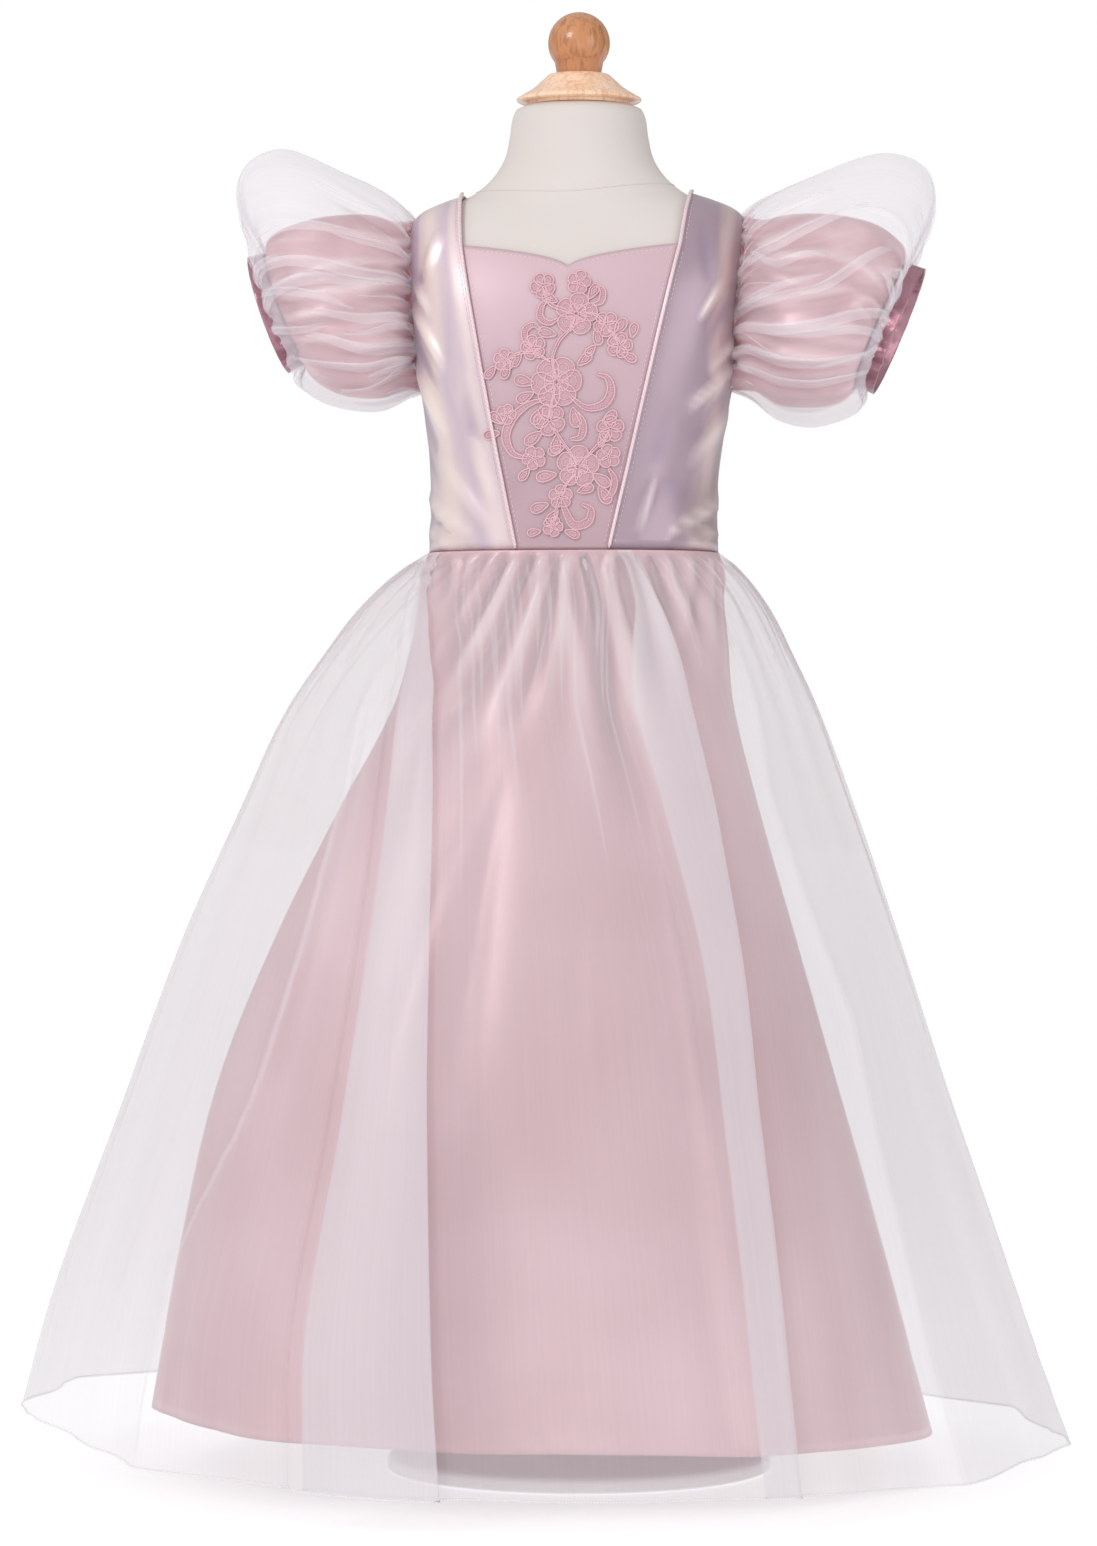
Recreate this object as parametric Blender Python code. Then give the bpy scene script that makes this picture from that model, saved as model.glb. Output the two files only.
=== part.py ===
"""Princess costume dress, child size 5, on a limbless dress form with a turned wooden neck cap and ball.

Z is up, the front faces -Y and the wearer's left side is at +X. The origin is the centre of the stand's
underside. Sizes in the tables are millimetres and are turned into metres where a mesh is made.
Angles run round the body from +X (0 degrees) over the front (90) to -X (180) and the back (270).
"""

import math

import bmesh
import bpy
import numpy as np

MM = 0.001

# Heights above the floor
BASE_THICKNESS = 12.0
FORM_BOTTOM = 497.0
WAIST = 622.0
UNDERARM = 731.0
NECK_DIP = 809.0
NECK_CORNER = 826.0
SHOULDER_TIP = 849.0
SHOULDER_RIDGE = 863.0
NECK_TOP = 925.5
CAP_TOP = 947.2

# Height of each hem at the right, front, left and back
SATIN_HEM = (31.0, 40.0, 43.0, 38.0)
ORGANZA_HEM = (21.0, 22.0, 44.0, 30.0)
HEM_REACH = 270.0

# Cloth: how far it stands off the form, its thickness, and the gap between neighbours at a seam
CLEARANCE = 0.9
SHOULDER_CLEARANCE = 1.4
SLEEVE_CLEARANCE = 1.4
SATIN_STAND_OFF = 2.4
ORGANZA_STAND_OFF = 4.2
BODICE_CLOTH = 1.2
SKIRT_CLOTH = 1.0
SLEEVE_CLOTH = 1.0
SEAM_GAP = 0.4

# Bodice lines, as distances from the centre line
WAIST_SEAM_X = 30.5
CORNER_X = 73.0
RIDGE_X = 77.0
SIDE_X = 100.0
BACK_NECK_HEIGHT = 812.0
BACK_NECK_DIP = 2.0
BACK_WAIST_X = 60.0
BACK_STRAP_X = 66.0
CLOSURE_OVERLAP = 11.0
CLOSURE_FLAT_X = 13.0
CLOSURE_FADE_X = 34.0
PIPING_RADIUS = 1.3
PIPING_GAP = 0.35
DIP_POWER = 0.5
WAIST_LEAN = -3.5

# The seam gap as an angle, in degrees, at the side seams
SEAM_TURN = math.degrees(SEAM_GAP / 2 / SIDE_X)

# Columns and rows of points on the bodice's panels and the form
FORM_SEGMENTS = 30
FRONT_COLUMNS = 11
FRONT_ROWS = 10
SIDE_COLUMNS = 8
STRAP_COLUMNS = 6
CLOSURE_COLUMNS = 5
PIPING_SIDES = 6

# Armhole oval, on the side of the body
ARMHOLE_CENTRE = (UNDERARM + SHOULDER_TIP) / 2
ARMHOLE_HALF_HEIGHT = (SHOULDER_TIP - UNDERARM) / 2
ARMHOLE_HALF_DEPTH = 30.0

# Stand
BASE_RADIUS = 130.0
POLE_RADIUS = 11.0
STAND_GAP = 0.3
BALL_RADIUS = 21.0
BALL_CENTRE = 968.3
BALL_SEAT_RADIUS = 15.0

# height, half_width, front_depth, back_depth, squareness of the dress form
FORM_SECTIONS = (
    (497.0, 92.0, 66.0, 68.0, 2.2),
    (506.0, 98.5, 72.0, 74.0, 2.3),
    (535.0, 101.0, 75.0, 79.0, 2.3),
    (575.0, 98.5, 75.0, 77.0, 2.3),
    (622.0, 96.0, 73.0, 72.0, 2.4),
    (660.0, 95.0, 72.5, 70.0, 2.4),
    (700.0, 98.5, 74.5, 71.0, 2.5),
    (730.0, 103.0, 75.5, 73.0, 2.6),
    (765.0, 108.0, 74.0, 76.0, 2.8),
    (800.0, 111.5, 69.0, 77.0, 2.9),
    (826.0, 113.0, 60.0, 72.0, 2.8),
    (843.0, 111.5, 52.0, 63.0, 2.5),
    (852.0, 105.0, 47.0, 56.0, 2.2),
    (858.0, 91.5, 44.5, 52.0, 2.1),
    (863.0, 77.0, 43.0, 49.0, 2.0),
    (870.0, 66.0, 42.0, 47.0, 2.0),
    (879.0, 57.0, 41.5, 45.5, 2.0),
    (890.0, 50.5, 41.5, 44.5, 2.0),
    (905.0, 47.0, 41.5, 43.5, 2.0),
    (919.0, 44.5, 41.0, 42.0, 2.0),
    (924.0, 41.0, 38.0, 39.0, 2.0),
    (925.5, 37.0, 34.0, 35.0, 2.0),
)

# Heights of the torso's rings of points
FORM_RINGS = (
    *(497.0, 506.0, 575.0, 622.0, 660.0, 680.0, 700.0, 730.0, 748.0, 765.0, 800.0, 826.0),
    *(836.0, 843.0, 852.0, 858.0, 863.0, 870.0, 879.0, 890.0, 919.0, 924.0, 925.5),
)

# Inner and outer height of a side panel's rows below the armhole, then the inner heights beside it
LOWER_ROWS = ((622.0, 622.0), (656.0, 652.0), (690.0, 682.0), (717.0, 709.0))
ARMHOLE_ROWS = (742.0, 748.0, 758.0, 772.0, 789.0, 809.0, 826.0, 841.0, 852.0, 860.5, 863.0)
BACK_TOP_ROW = 809.0

# Heights of the piping's points
PIPING_ROWS = (
    *(622.5, 650.0, 680.0, 710.0, 740.0, 768.0, 795.0),
    *(815.0, 828.0, 842.0, 852.0, 858.0, 861.2, 862.6),
)

# height, half_width, centre_x of the satin skirt
SATIN_SECTIONS = (
    (621.6, 98.4, -3.5),
    (609.0, 100.8, -4.0),
    (588.0, 103.0, -5.0),
    (560.0, 107.0, -6.5),
    (522.0, 114.0, -10.0),
    (455.0, 139.0, -19.0),
    (366.0, 172.0, -28.0),
    (264.0, 206.0, -33.0),
    (162.0, 233.0, -29.0),
    (38.0, 259.0, -22.0),
)

# height, half_width, centre_x of the organza overlay
ORGANZA_SECTIONS = (
    (621.2, 100.2, -3.5),
    (608.0, 117.0, -6.0),
    (586.0, 137.0, -9.5),
    (555.0, 157.0, -13.5),
    (515.0, 180.0, -18.0),
    (450.0, 207.0, -21.5),
    (366.0, 239.0, -26.0),
    (250.0, 277.0, -28.5),
    (120.0, 320.0, -28.0),
    (31.0, 346.0, -24.0),
)
FLARE_DEPTH_SHARE = 0.93

# A skirt's outline goes from the form's squareness above the first height to a rounder one below the second
WAIST_SQUARENESS = 2.4
HEM_SQUARENESS = 2.15
SQUARE_ABOVE = 594.0
ROUND_BELOW = 455.0

# height, angle of the folded edge, overlap and layer spacing of each deep pleat beside the front
LEFT_PLEAT = (
    (621.2, 147.0, 9.0, 2.4),
    (608.0, 137.0, 11.0, 3.2),
    (586.0, 127.5, 14.0, 4.2),
    (555.0, 118.5, 20.0, 4.8),
    (515.0, 111.7, 28.0, 5.0),
    (450.0, 106.5, 37.0, 5.0),
    (366.0, 102.4, 46.0, 5.0),
    (250.0, 99.0, 64.0, 6.0),
    (120.0, 96.0, 91.0, 7.0),
    (22.0, 94.6, 97.0, 7.0),
)
RIGHT_PLEAT = (
    (621.2, 58.0, 9.0, 2.4),
    (608.0, 57.0, 11.0, 3.0),
    (586.0, 55.0, 16.0, 3.8),
    (555.0, 52.5, 30.0, 4.0),
    (515.0, 51.3, 39.0, 4.0),
    (450.0, 49.6, 36.0, 4.0),
    (366.0, 49.5, 28.0, 4.5),
    (250.0, 51.0, 24.0, 5.0),
    (120.0, 52.8, 24.0, 5.5),
    (22.0, 54.5, 23.0, 5.5),
)
PLEAT_LEAD = 8.0

# across in half overlaps, lead in lead widths and layer, of the points through a pleat
PLEAT_SHAPE = (
    (-1.0, -1.0, 0.0),
    (-1.0, 0.0, 0.1),
    (-0.3, 0.0, 0.0),
    (0.6, 0.0, 0.0),
    (1.0, 0.0, 0.5),
    (0.6, 0.0, 1.0),
    (0.0, 0.0, 1.0),
    (-0.6, 0.0, 1.0),
    (-1.0, 0.0, 1.5),
    (-0.6, 0.0, 2.0),
    (0.3, 0.0, 2.0),
    (1.0, 0.0, 1.7),
    (1.0, 1.0, 0.0),
)

# angle, half_span, rise at the hem, height where the fold has died out
ORGANZA_FOLDS = (
    (-2.0, 11.0, 10.0, 560.0),
    (17.0, 9.0, -6.0, 430.0),
    (33.0, 11.0, 12.0, 540.0),
    (76.0, 12.0, 5.0, 430.0),
    (131.0, 10.0, 14.0, 590.0),
    (153.0, 10.0, -8.0, 400.0),
    (174.0, 11.0, 9.0, 560.0),
    (197.0, 12.0, 14.0, 500.0),
    (222.0, 11.0, 12.0, 520.0),
    (248.0, 12.0, 16.0, 480.0),
    (277.0, 12.0, 13.0, 500.0),
    (303.0, 12.0, 16.0, 540.0),
    (331.0, 11.0, 13.0, 470.0),
)
SATIN_FOLDS = (
    (12.0, 16.0, 7.0, 520.0),
    (52.0, 15.0, 9.0, 470.0),
    (94.0, 14.0, 5.0, 400.0),
    (131.0, 14.0, 8.0, 500.0),
    (172.0, 15.0, 9.0, 520.0),
    (212.0, 16.0, 8.0, 450.0),
    (256.0, 15.0, 9.0, 500.0),
    (300.0, 16.0, 8.0, 430.0),
    (336.0, 13.0, 6.0, 500.0),
)
FOLD_GROWTH = 1.3
SATIN_COLUMNS = 56
ORGANZA_COLUMNS = (30, 12, 12, 12, 26)

# Gathers below the waist seam: points in one gather, where they reach full depth, their reach and depths
GATHER_COLUMNS = 4
GATHER_START = 10.0
GATHER_REACH = 55.0
SATIN_GATHER = 1.5
ORGANZA_GATHER = 2.0

# Rings of a sleeve: out and height of the ring's top and bottom points, half_depth, and height of a gather
SLEEVES = {
    "right": {
        "satin": (
            (126.0, 846.0, 121.0, 731.0, 41.0, 1.1),
            (147.0, 850.0, 137.0, 722.0, 57.0, 1.0),
            (176.0, 849.0, 158.0, 720.5, 61.0, 0.8),
            (203.0, 842.0, 174.0, 722.5, 54.0, 0.8),
            (219.0, 829.0, 184.0, 729.0, 44.5, 0.8),
            (221.5, 817.0, 186.5, 737.0, 39.0, 0.6),
        ),
        "organza": (
            (124.0, 862.0, 118.0, 725.0, 50.0, 1.4),
            (147.0, 877.0, 136.0, 711.0, 64.0, 1.2),
            (180.0, 887.0, 158.0, 706.5, 71.0, 1.0),
            (212.0, 891.0, 177.0, 711.0, 67.0, 1.0),
            (236.0, 880.0, 189.0, 717.0, 57.0, 1.0),
            (240.0, 852.0, 192.0, 724.0, 48.0, 1.0),
            (224.2, 818.0, 187.7, 734.4, 40.6, 0.4),
        ),
        "cuff": ((222.9, 816.4, 187.9, 736.4, 38.5), (235.0, 812.0, 200.0, 729.0, 42.5)),
    },
    "left": {
        "satin": (
            (126.0, 848.0, 121.0, 734.0, 41.0, 1.1),
            (145.0, 853.0, 135.0, 729.0, 56.0, 1.0),
            (172.0, 852.0, 155.0, 729.5, 60.0, 0.8),
            (197.0, 846.0, 172.0, 734.5, 53.0, 0.8),
            (211.5, 838.0, 183.0, 744.0, 43.0, 0.8),
            (213.5, 827.5, 186.0, 754.0, 37.5, 0.6),
        ),
        "organza": (
            (124.0, 862.0, 118.0, 728.0, 50.0, 1.4),
            (147.0, 879.0, 136.0, 719.5, 63.0, 1.2),
            (177.0, 895.0, 157.0, 720.0, 69.0, 1.0),
            (205.0, 900.0, 176.0, 725.0, 65.0, 1.0),
            (229.0, 887.0, 188.0, 733.0, 55.0, 1.0),
            (232.0, 861.0, 191.5, 741.0, 46.0, 1.0),
            (216.0, 828.5, 187.0, 751.8, 39.3, 0.4),
        ),
        "cuff": ((214.9, 826.9, 187.4, 753.5, 37.0), (226.5, 825.0, 200.0, 746.5, 41.0)),
    },
}
SLEEVE_COLUMNS = 20
ARMHOLE_STEP = 2.4

# x, height, radius, petals of the blossoms of the lace on the centre front
LACE_BLOSSOMS = (
    (-16.0, 797.0, 7.5, 5),
    (8.0, 799.0, 7.0, 5),
    (7.0, 778.0, 12.5, 5),
    (27.0, 771.0, 7.5, 5),
    (36.0, 757.0, 7.5, 5),
    (-21.0, 756.0, 7.5, 5),
    (-40.0, 748.0, 6.5, 5),
    (-5.0, 733.0, 15.0, 6),
    (-9.0, 708.0, 9.5, 5),
    (-38.0, 712.0, 6.0, 5),
    (31.0, 702.0, 8.0, 5),
    (10.0, 677.0, 12.5, 5),
    (30.0, 684.0, 7.0, 5),
    (-19.0, 683.0, 7.0, 5),
    (-1.0, 657.0, 7.0, 5),
    (-6.0, 637.0, 6.0, 5),
)

# Each stem of the lace through its points of x and height
LACE_STEMS = (
    ((-16.0, 797.0), (-6.0, 783.0), (7.0, 778.0), (-4.0, 762.0), (-11.0, 748.0), (-5.0, 733.0)),
    ((7.0, 778.0), (10.0, 790.0), (8.0, 799.0)),
    ((7.0, 778.0), (20.0, 776.0), (30.0, 768.0), (36.0, 757.0)),
    ((-8.0, 748.0), (-21.0, 756.0), (-32.0, 755.0), (-40.0, 748.0)),
    ((-5.0, 733.0), (-9.0, 708.0), (2.0, 692.0), (10.0, 677.0), (4.0, 664.0), (-1.0, 657.0)),
    ((-12.0, 722.0), (-27.0, 722.0), (-38.0, 712.0), (-38.0, 699.0), (-31.0, 690.0), (-19.0, 683.0)),
    ((4.0, 726.0), (18.0, 717.0), (31.0, 722.0), (30.0, 733.0), (22.0, 736.0)),
    ((6.0, 688.0), (18.0, 697.0), (31.0, 702.0), (36.0, 694.0), (30.0, 684.0), (18.0, 680.0)),
    ((-1.0, 657.0), (10.0, 652.0), (14.0, 642.0), (6.0, 634.0), (-6.0, 637.0)),
)
LACE_STEM_WIDTH = 5.0
LACE_STEM_TAPER = 0.35
LACE_PETAL_DEPTH = 0.28
LACE_LARGE_BLOSSOM = 10.0
LACE_THICKNESS = 1.2
LACE_GAP = 0.55
LACE_CLEAN = 0.02

# Places across and up where the lace's faces are cut, so that they bend with the panel
LACE_CUTS_ACROSS = range(-48, 49, 12)
LACE_CUTS_UP = range(640, 810, 24)

# name: (base colour, roughness, metallic)
MATERIALS = {
    "lame": ((0.62, 0.48, 0.52), 0.32, 0.55),
    "satin": ((0.68, 0.42, 0.46), 0.38, 0.0),
    "mesh_panel": ((0.55, 0.36, 0.41), 0.6, 0.0),
    "lace": ((0.72, 0.44, 0.48), 0.7, 0.0),
    "piping": ((0.66, 0.42, 0.46), 0.35, 0.2),
    "organza": ((0.80, 0.78, 0.84), 0.5, 0.0),
    "foil_cuff": ((0.60, 0.36, 0.40), 0.25, 0.6),
    "form_cover": ((0.78, 0.73, 0.70), 0.85, 0.0),
    "beech": ((0.62, 0.33, 0.16), 0.3, 0.0),
    "stand_steel": ((0.86, 0.85, 0.83), 0.35, 0.0),
}


def through(table, column):
    """A smooth function of height through one column of a table, with slopes from the neighbouring rows."""
    rows = sorted(table)
    heights = np.array([row[0] for row in rows])
    values = np.array([row[column] for row in rows])
    secants = np.diff(values) / np.diff(heights)
    slopes = np.concatenate([secants[:1], (secants[:-1] + secants[1:]) / 2, secants[-1:]])
    for i, (before, after) in enumerate(zip(secants[:-1], secants[1:]), start=1):
        if before * after <= 0:
            slopes[i] = 0
        else:
            slopes[i] = math.copysign(min(abs(slopes[i]), 3 * abs(before), 3 * abs(after)), slopes[i])

    def value(height):
        height = min(max(height, heights[0]), heights[-1])
        i = int(min(np.searchsorted(heights, height, side="right") - 1, len(heights) - 2))
        span = heights[i + 1] - heights[i]
        t = (height - heights[i]) / span
        return (
            (2 * t**3 - 3 * t**2 + 1) * values[i]
            + (t**3 - 2 * t**2 + t) * span * slopes[i]
            + (3 * t**2 - 2 * t**3) * values[i + 1]
            + (t**3 - t**2) * span * slopes[i + 1]
        )

    return value


def smooth_step(value, low, high):
    """0 below low, 1 above high, and an even curve between."""
    t = min(max((value - low) / (high - low), 0.0), 1.0)
    return t * t * (3 - 2 * t)


def mix(a, b, share):
    return a + (b - a) * share


def material(name):
    """The named finish as a Principled material, made once."""
    made = bpy.data.materials.get(name)
    if made:
        return made
    colour, roughness, metallic = MATERIALS[name]
    made = bpy.data.materials.new(name)
    made.use_nodes = True
    shader = made.node_tree.nodes["Principled BSDF"]
    shader.inputs["Base Color"].default_value = (*colour, 1.0)
    shader.inputs["Roughness"].default_value = roughness
    shader.inputs["Metallic"].default_value = metallic
    return made


def add_object(name, points, faces, finish):
    """An object from points in millimetres."""
    mesh = bpy.data.meshes.new(name)
    mesh.from_pydata([tuple(float(c) * MM for c in p) for p in points], [], faces)
    mesh.validate()
    return finished(name, mesh, finish)


def finished(name, mesh, finish):
    """The mesh as a named object with its material, shaded smooth but for its sharp edges."""
    mesh.materials.append(material(finish))
    mesh.shade_smooth()
    mesh.set_sharp_from_angle(angle=math.radians(50))
    obj = bpy.data.objects.new(name, mesh)
    bpy.context.scene.collection.objects.link(obj)
    return obj


def grid_faces(rows, columns, closed=False):
    """Triangles of a grid of points held row by row. Columns run along increasing angle, rows upwards."""
    faces = []
    for r in range(rows - 1):
        for c in range(columns if closed else columns - 1):
            here, right = r * columns + c, r * columns + (c + 1) % columns
            above, above_right = here + columns, right + columns
            faces.append((here, above_right, right))
            faces.append((here, above, above_right))
    return faces


def wall(name, faces, inner, outer, finish):
    """A cloth wall: the faces on the outer points, the same turned over on the inner points, and a rim."""
    count = len(outer)
    used = set()
    for face in faces:
        used.update(zip(face, face[1:] + face[:1]))
    rim = [(b, a, a + count, b + count) for a, b in used if (b, a) not in used]
    turned = [tuple(i + count for i in reversed(face)) for face in faces]
    return add_object(name, list(outer) + list(inner), list(faces) + turned + rim, finish)


def turned_solid(name, profile, finish, segments):
    """A solid of revolution about Z. The profile holds radius and height from top to bottom."""
    outline = [(0.0, profile[0][1]), *profile, (0.0, profile[-1][1])]
    work = bmesh.new()
    points = [work.verts.new((radius * MM, 0.0, height * MM)) for radius, height in outline]
    edges = [work.edges.new(pair) for pair in zip(points[:-1], points[1:])]
    geom = points + edges
    bmesh.ops.spin(work, geom=geom, axis=(0, 0, 1), angle=math.tau, steps=segments, use_merge=True)
    bmesh.ops.remove_doubles(work, verts=work.verts, dist=MM * 0.01)
    bmesh.ops.recalc_face_normals(work, faces=work.faces)
    mesh = bpy.data.meshes.new(name)
    work.to_mesh(mesh)
    work.free()
    return finished(name, mesh, finish)


# The dress form's surface, which the bodice follows

FORM_WIDTH = through(FORM_SECTIONS, 1)
FORM_FRONT = through(FORM_SECTIONS, 2)
FORM_BACK = through(FORM_SECTIONS, 3)
FORM_SQUARENESS = through(FORM_SECTIONS, 4)


def oval_point(angle, width, front, back, squareness):
    """x and y of a squared oval in the direction of an angle in degrees. The front is at -Y."""
    c, s = math.cos(math.radians(angle)), math.sin(math.radians(angle))
    depth = front if s > 0 else back
    radius = (abs(c / width) ** squareness + abs(s / depth) ** squareness) ** (-1 / squareness)
    return radius * c, -radius * s


def body_centre(height):
    """The sideways place of the form's centre line, which leans a little from the shoulders to the waist."""
    return WAIST_LEAN * (1 - smooth_step(height, WAIST, SHOULDER_TIP))


def body_point(angle, height, offset=0.0):
    """A point on the form's surface, moved out along the surface's normal."""

    def surface(a, h):
        x, y = oval_point(a, FORM_WIDTH(h), FORM_FRONT(h), FORM_BACK(h), FORM_SQUARENESS(h))
        return np.array((x + body_centre(h), y, h))

    here = surface(angle, height)
    if not offset:
        return here
    low, high = max(height - 0.5, FORM_BOTTOM), min(height + 0.5, NECK_TOP)
    across = surface(angle + 0.5, height) - surface(angle - 0.5, height)
    up = surface(angle, high) - surface(angle, low)
    normal = np.cross(up, across)
    return here + offset * normal / np.linalg.norm(normal)


def angle_at(x, height, front=True):
    """The angle at which the form's front or back lies at a distance x from the centre line."""
    width, n = FORM_WIDTH(height), FORM_SQUARENESS(height)
    depth = FORM_FRONT(height) if front else FORM_BACK(height)
    y = depth * max(1 - min(abs(x) / width, 1.0) ** n, 0.0) ** (1 / n)
    angle = math.degrees(math.atan2(y if front else -y, x))
    return angle if angle > -90.001 else angle + 360


def armhole_angle(height, front=True, inset=0.0):
    """The angle of the armhole's edge at a height, on the +X side."""
    half = ARMHOLE_HALF_HEIGHT - inset
    share = max(1 - ((height - ARMHOLE_CENTRE) / half) ** 2, 0.0)
    y = (ARMHOLE_HALF_DEPTH - inset) * math.sqrt(share)
    width, n = FORM_WIDTH(height), FORM_SQUARENESS(height)
    depth = FORM_FRONT(height) if front else FORM_BACK(height)
    x = width * (1 - min(y / depth, 1.0) ** n) ** (1 / n)
    return math.degrees(math.atan2(y if front else -y, x))


def make_form():
    """The covered torso with its neck, solid, from hip to neck."""
    turns = [360 * i / FORM_SEGMENTS for i in range(FORM_SEGMENTS)]
    points = [body_point(turn, height) for height in FORM_RINGS for turn in turns]
    faces = grid_faces(len(FORM_RINGS), FORM_SEGMENTS, closed=True)
    faces.append(tuple(range(FORM_SEGMENTS)))
    faces.append(tuple(reversed(range(len(points) - FORM_SEGMENTS, len(points)))))
    return add_object("form_torso", points, faces, "form_cover")


def make_stand():
    """The wooden neck cap and ball, the pole and the round base."""
    cap = (
        (19.3, CAP_TOP),
        (24.0, 943.5),
        (30.7, 937.3),
        (41.5, 930.8),
        (42.5, 929.7),
        (41.8, 928.6),
        (35.0, 927.8),
        (35.0, NECK_TOP + STAND_GAP),
    )
    turned_solid("form_neck_cap", cap, "beech", 28)
    ball = [(BALL_SEAT_RADIUS, CAP_TOP + STAND_GAP)]
    lowest = -math.acos(BALL_SEAT_RADIUS / BALL_RADIUS)
    drop = (BALL_CENTRE - CAP_TOP - STAND_GAP) / math.sin(-lowest)
    for step in range(1, 10):
        turn = mix(lowest, math.pi / 2, step / 9.5)
        reach = BALL_RADIUS if turn > 0 else drop
        ball.append((BALL_RADIUS * math.cos(turn), BALL_CENTRE + reach * math.sin(turn)))
    turned_solid("form_ball", list(reversed(ball)), "beech", 24)
    pole = ((POLE_RADIUS, FORM_BOTTOM - STAND_GAP), (POLE_RADIUS, BASE_THICKNESS + STAND_GAP))
    turned_solid("stand_pole", pole, "stand_steel", 20)
    base = (
        (BASE_RADIUS - 6.0, BASE_THICKNESS),
        (BASE_RADIUS - 1.5, BASE_THICKNESS - 2.0),
        (BASE_RADIUS, BASE_THICKNESS - 5.0),
        (BASE_RADIUS, 0.0),
    )
    turned_solid("stand_base", base, "stand_steel", 40)


# Bodice


def seam_x(height):
    """Distance from the centre line of the princess seam, and above the neckline of the strap's edge."""
    if height <= NECK_CORNER:
        return mix(WAIST_SEAM_X, CORNER_X, (height - WAIST) / (NECK_CORNER - WAIST))
    return mix(CORNER_X, RIDGE_X, (height - NECK_CORNER) / (SHOULDER_RIDGE - NECK_CORNER))


def cloth_offset(height):
    """How far the bodice's inside stands off the form: a little more over the shoulder's tight curve."""
    return mix(CLEARANCE, SHOULDER_CLEARANCE, smooth_step(height, NECK_CORNER, SHOULDER_TIP))


def body_wall(name, cells, sites, finish, lift=None):
    """A bodice panel through sites of (angle, height) on the form. lift raises a site further out."""
    inner, outer = [], []
    for i, (angle, height) in enumerate(sites):
        base = cloth_offset(height) + (lift[i] if lift else 0.0)
        inner.append(body_point(angle, height, base))
        outer.append(body_point(angle, height, base + BODICE_CLOTH))
    return wall(name, cells, inner, outer, finish)


def make_centre_front():
    """The stomacher panel between the princess seams, with its dipped neckline."""
    sites = []
    for r in range(FRONT_ROWS):
        for c in range(FRONT_COLUMNS):
            across = 1 - 2 * c / (FRONT_COLUMNS - 1)
            top = mix(NECK_DIP, NECK_CORNER, abs(across) ** DIP_POWER)
            height = mix(WAIST, top, r / (FRONT_ROWS - 1))
            sites.append((angle_at(across * (seam_x(height) - SEAM_GAP / 2), height), height))
    return body_wall("bodice_centre_front", grid_faces(FRONT_ROWS, FRONT_COLUMNS), sites, "mesh_panel")


def side_rows():
    """Inner and outer height of each row. The armhole's outer ends lie at the sleeve's own columns."""
    rows = list(LOWER_ROWS)
    for i, inner_height in enumerate(ARMHOLE_ROWS):
        turn = math.pi * i / (len(ARMHOLE_ROWS) - 1)
        rows.append((inner_height, ARMHOLE_CENTRE - ARMHOLE_HALF_HEIGHT * math.cos(turn)))
    return rows


def make_side_front(name, side):
    """A side-front panel with the front of the shoulder strap, from the princess seam to the side seam."""
    sites = []
    rows = side_rows()
    for inner_height, outer_height in rows:
        start = angle_at(seam_x(inner_height), inner_height)
        start -= SEAM_TURN if inner_height < NECK_CORNER else 0
        end = armhole_angle(outer_height) if outer_height > UNDERARM else 0.0
        end = max(end, SEAM_TURN)
        start = max(start, SEAM_TURN)
        for c in range(SIDE_COLUMNS):
            share = c / (SIDE_COLUMNS - 1)
            angle = mix(end, start, share)
            height = mix(outer_height, inner_height, share)
            sites.append((angle if side > 0 else 180 - angle, height))
    cells = grid_faces(len(rows), SIDE_COLUMNS)
    if side < 0:
        cells = [tuple(reversed(face)) for face in cells]
    return body_wall(name, cells, sites, "lame")


def back_strap(inner_height):
    """Height and distance from the centre line of the back strap's inner edge, on one row."""
    if inner_height <= BACK_TOP_ROW:
        share = (inner_height - WAIST) / (BACK_TOP_ROW - WAIST)
        return mix(WAIST, BACK_NECK_HEIGHT, share), mix(BACK_WAIST_X, BACK_STRAP_X, share)
    share = (inner_height - BACK_TOP_ROW) / (SHOULDER_RIDGE - BACK_TOP_ROW)
    return mix(BACK_NECK_HEIGHT, SHOULDER_RIDGE, share), mix(BACK_STRAP_X, RIDGE_X, share)


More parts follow.
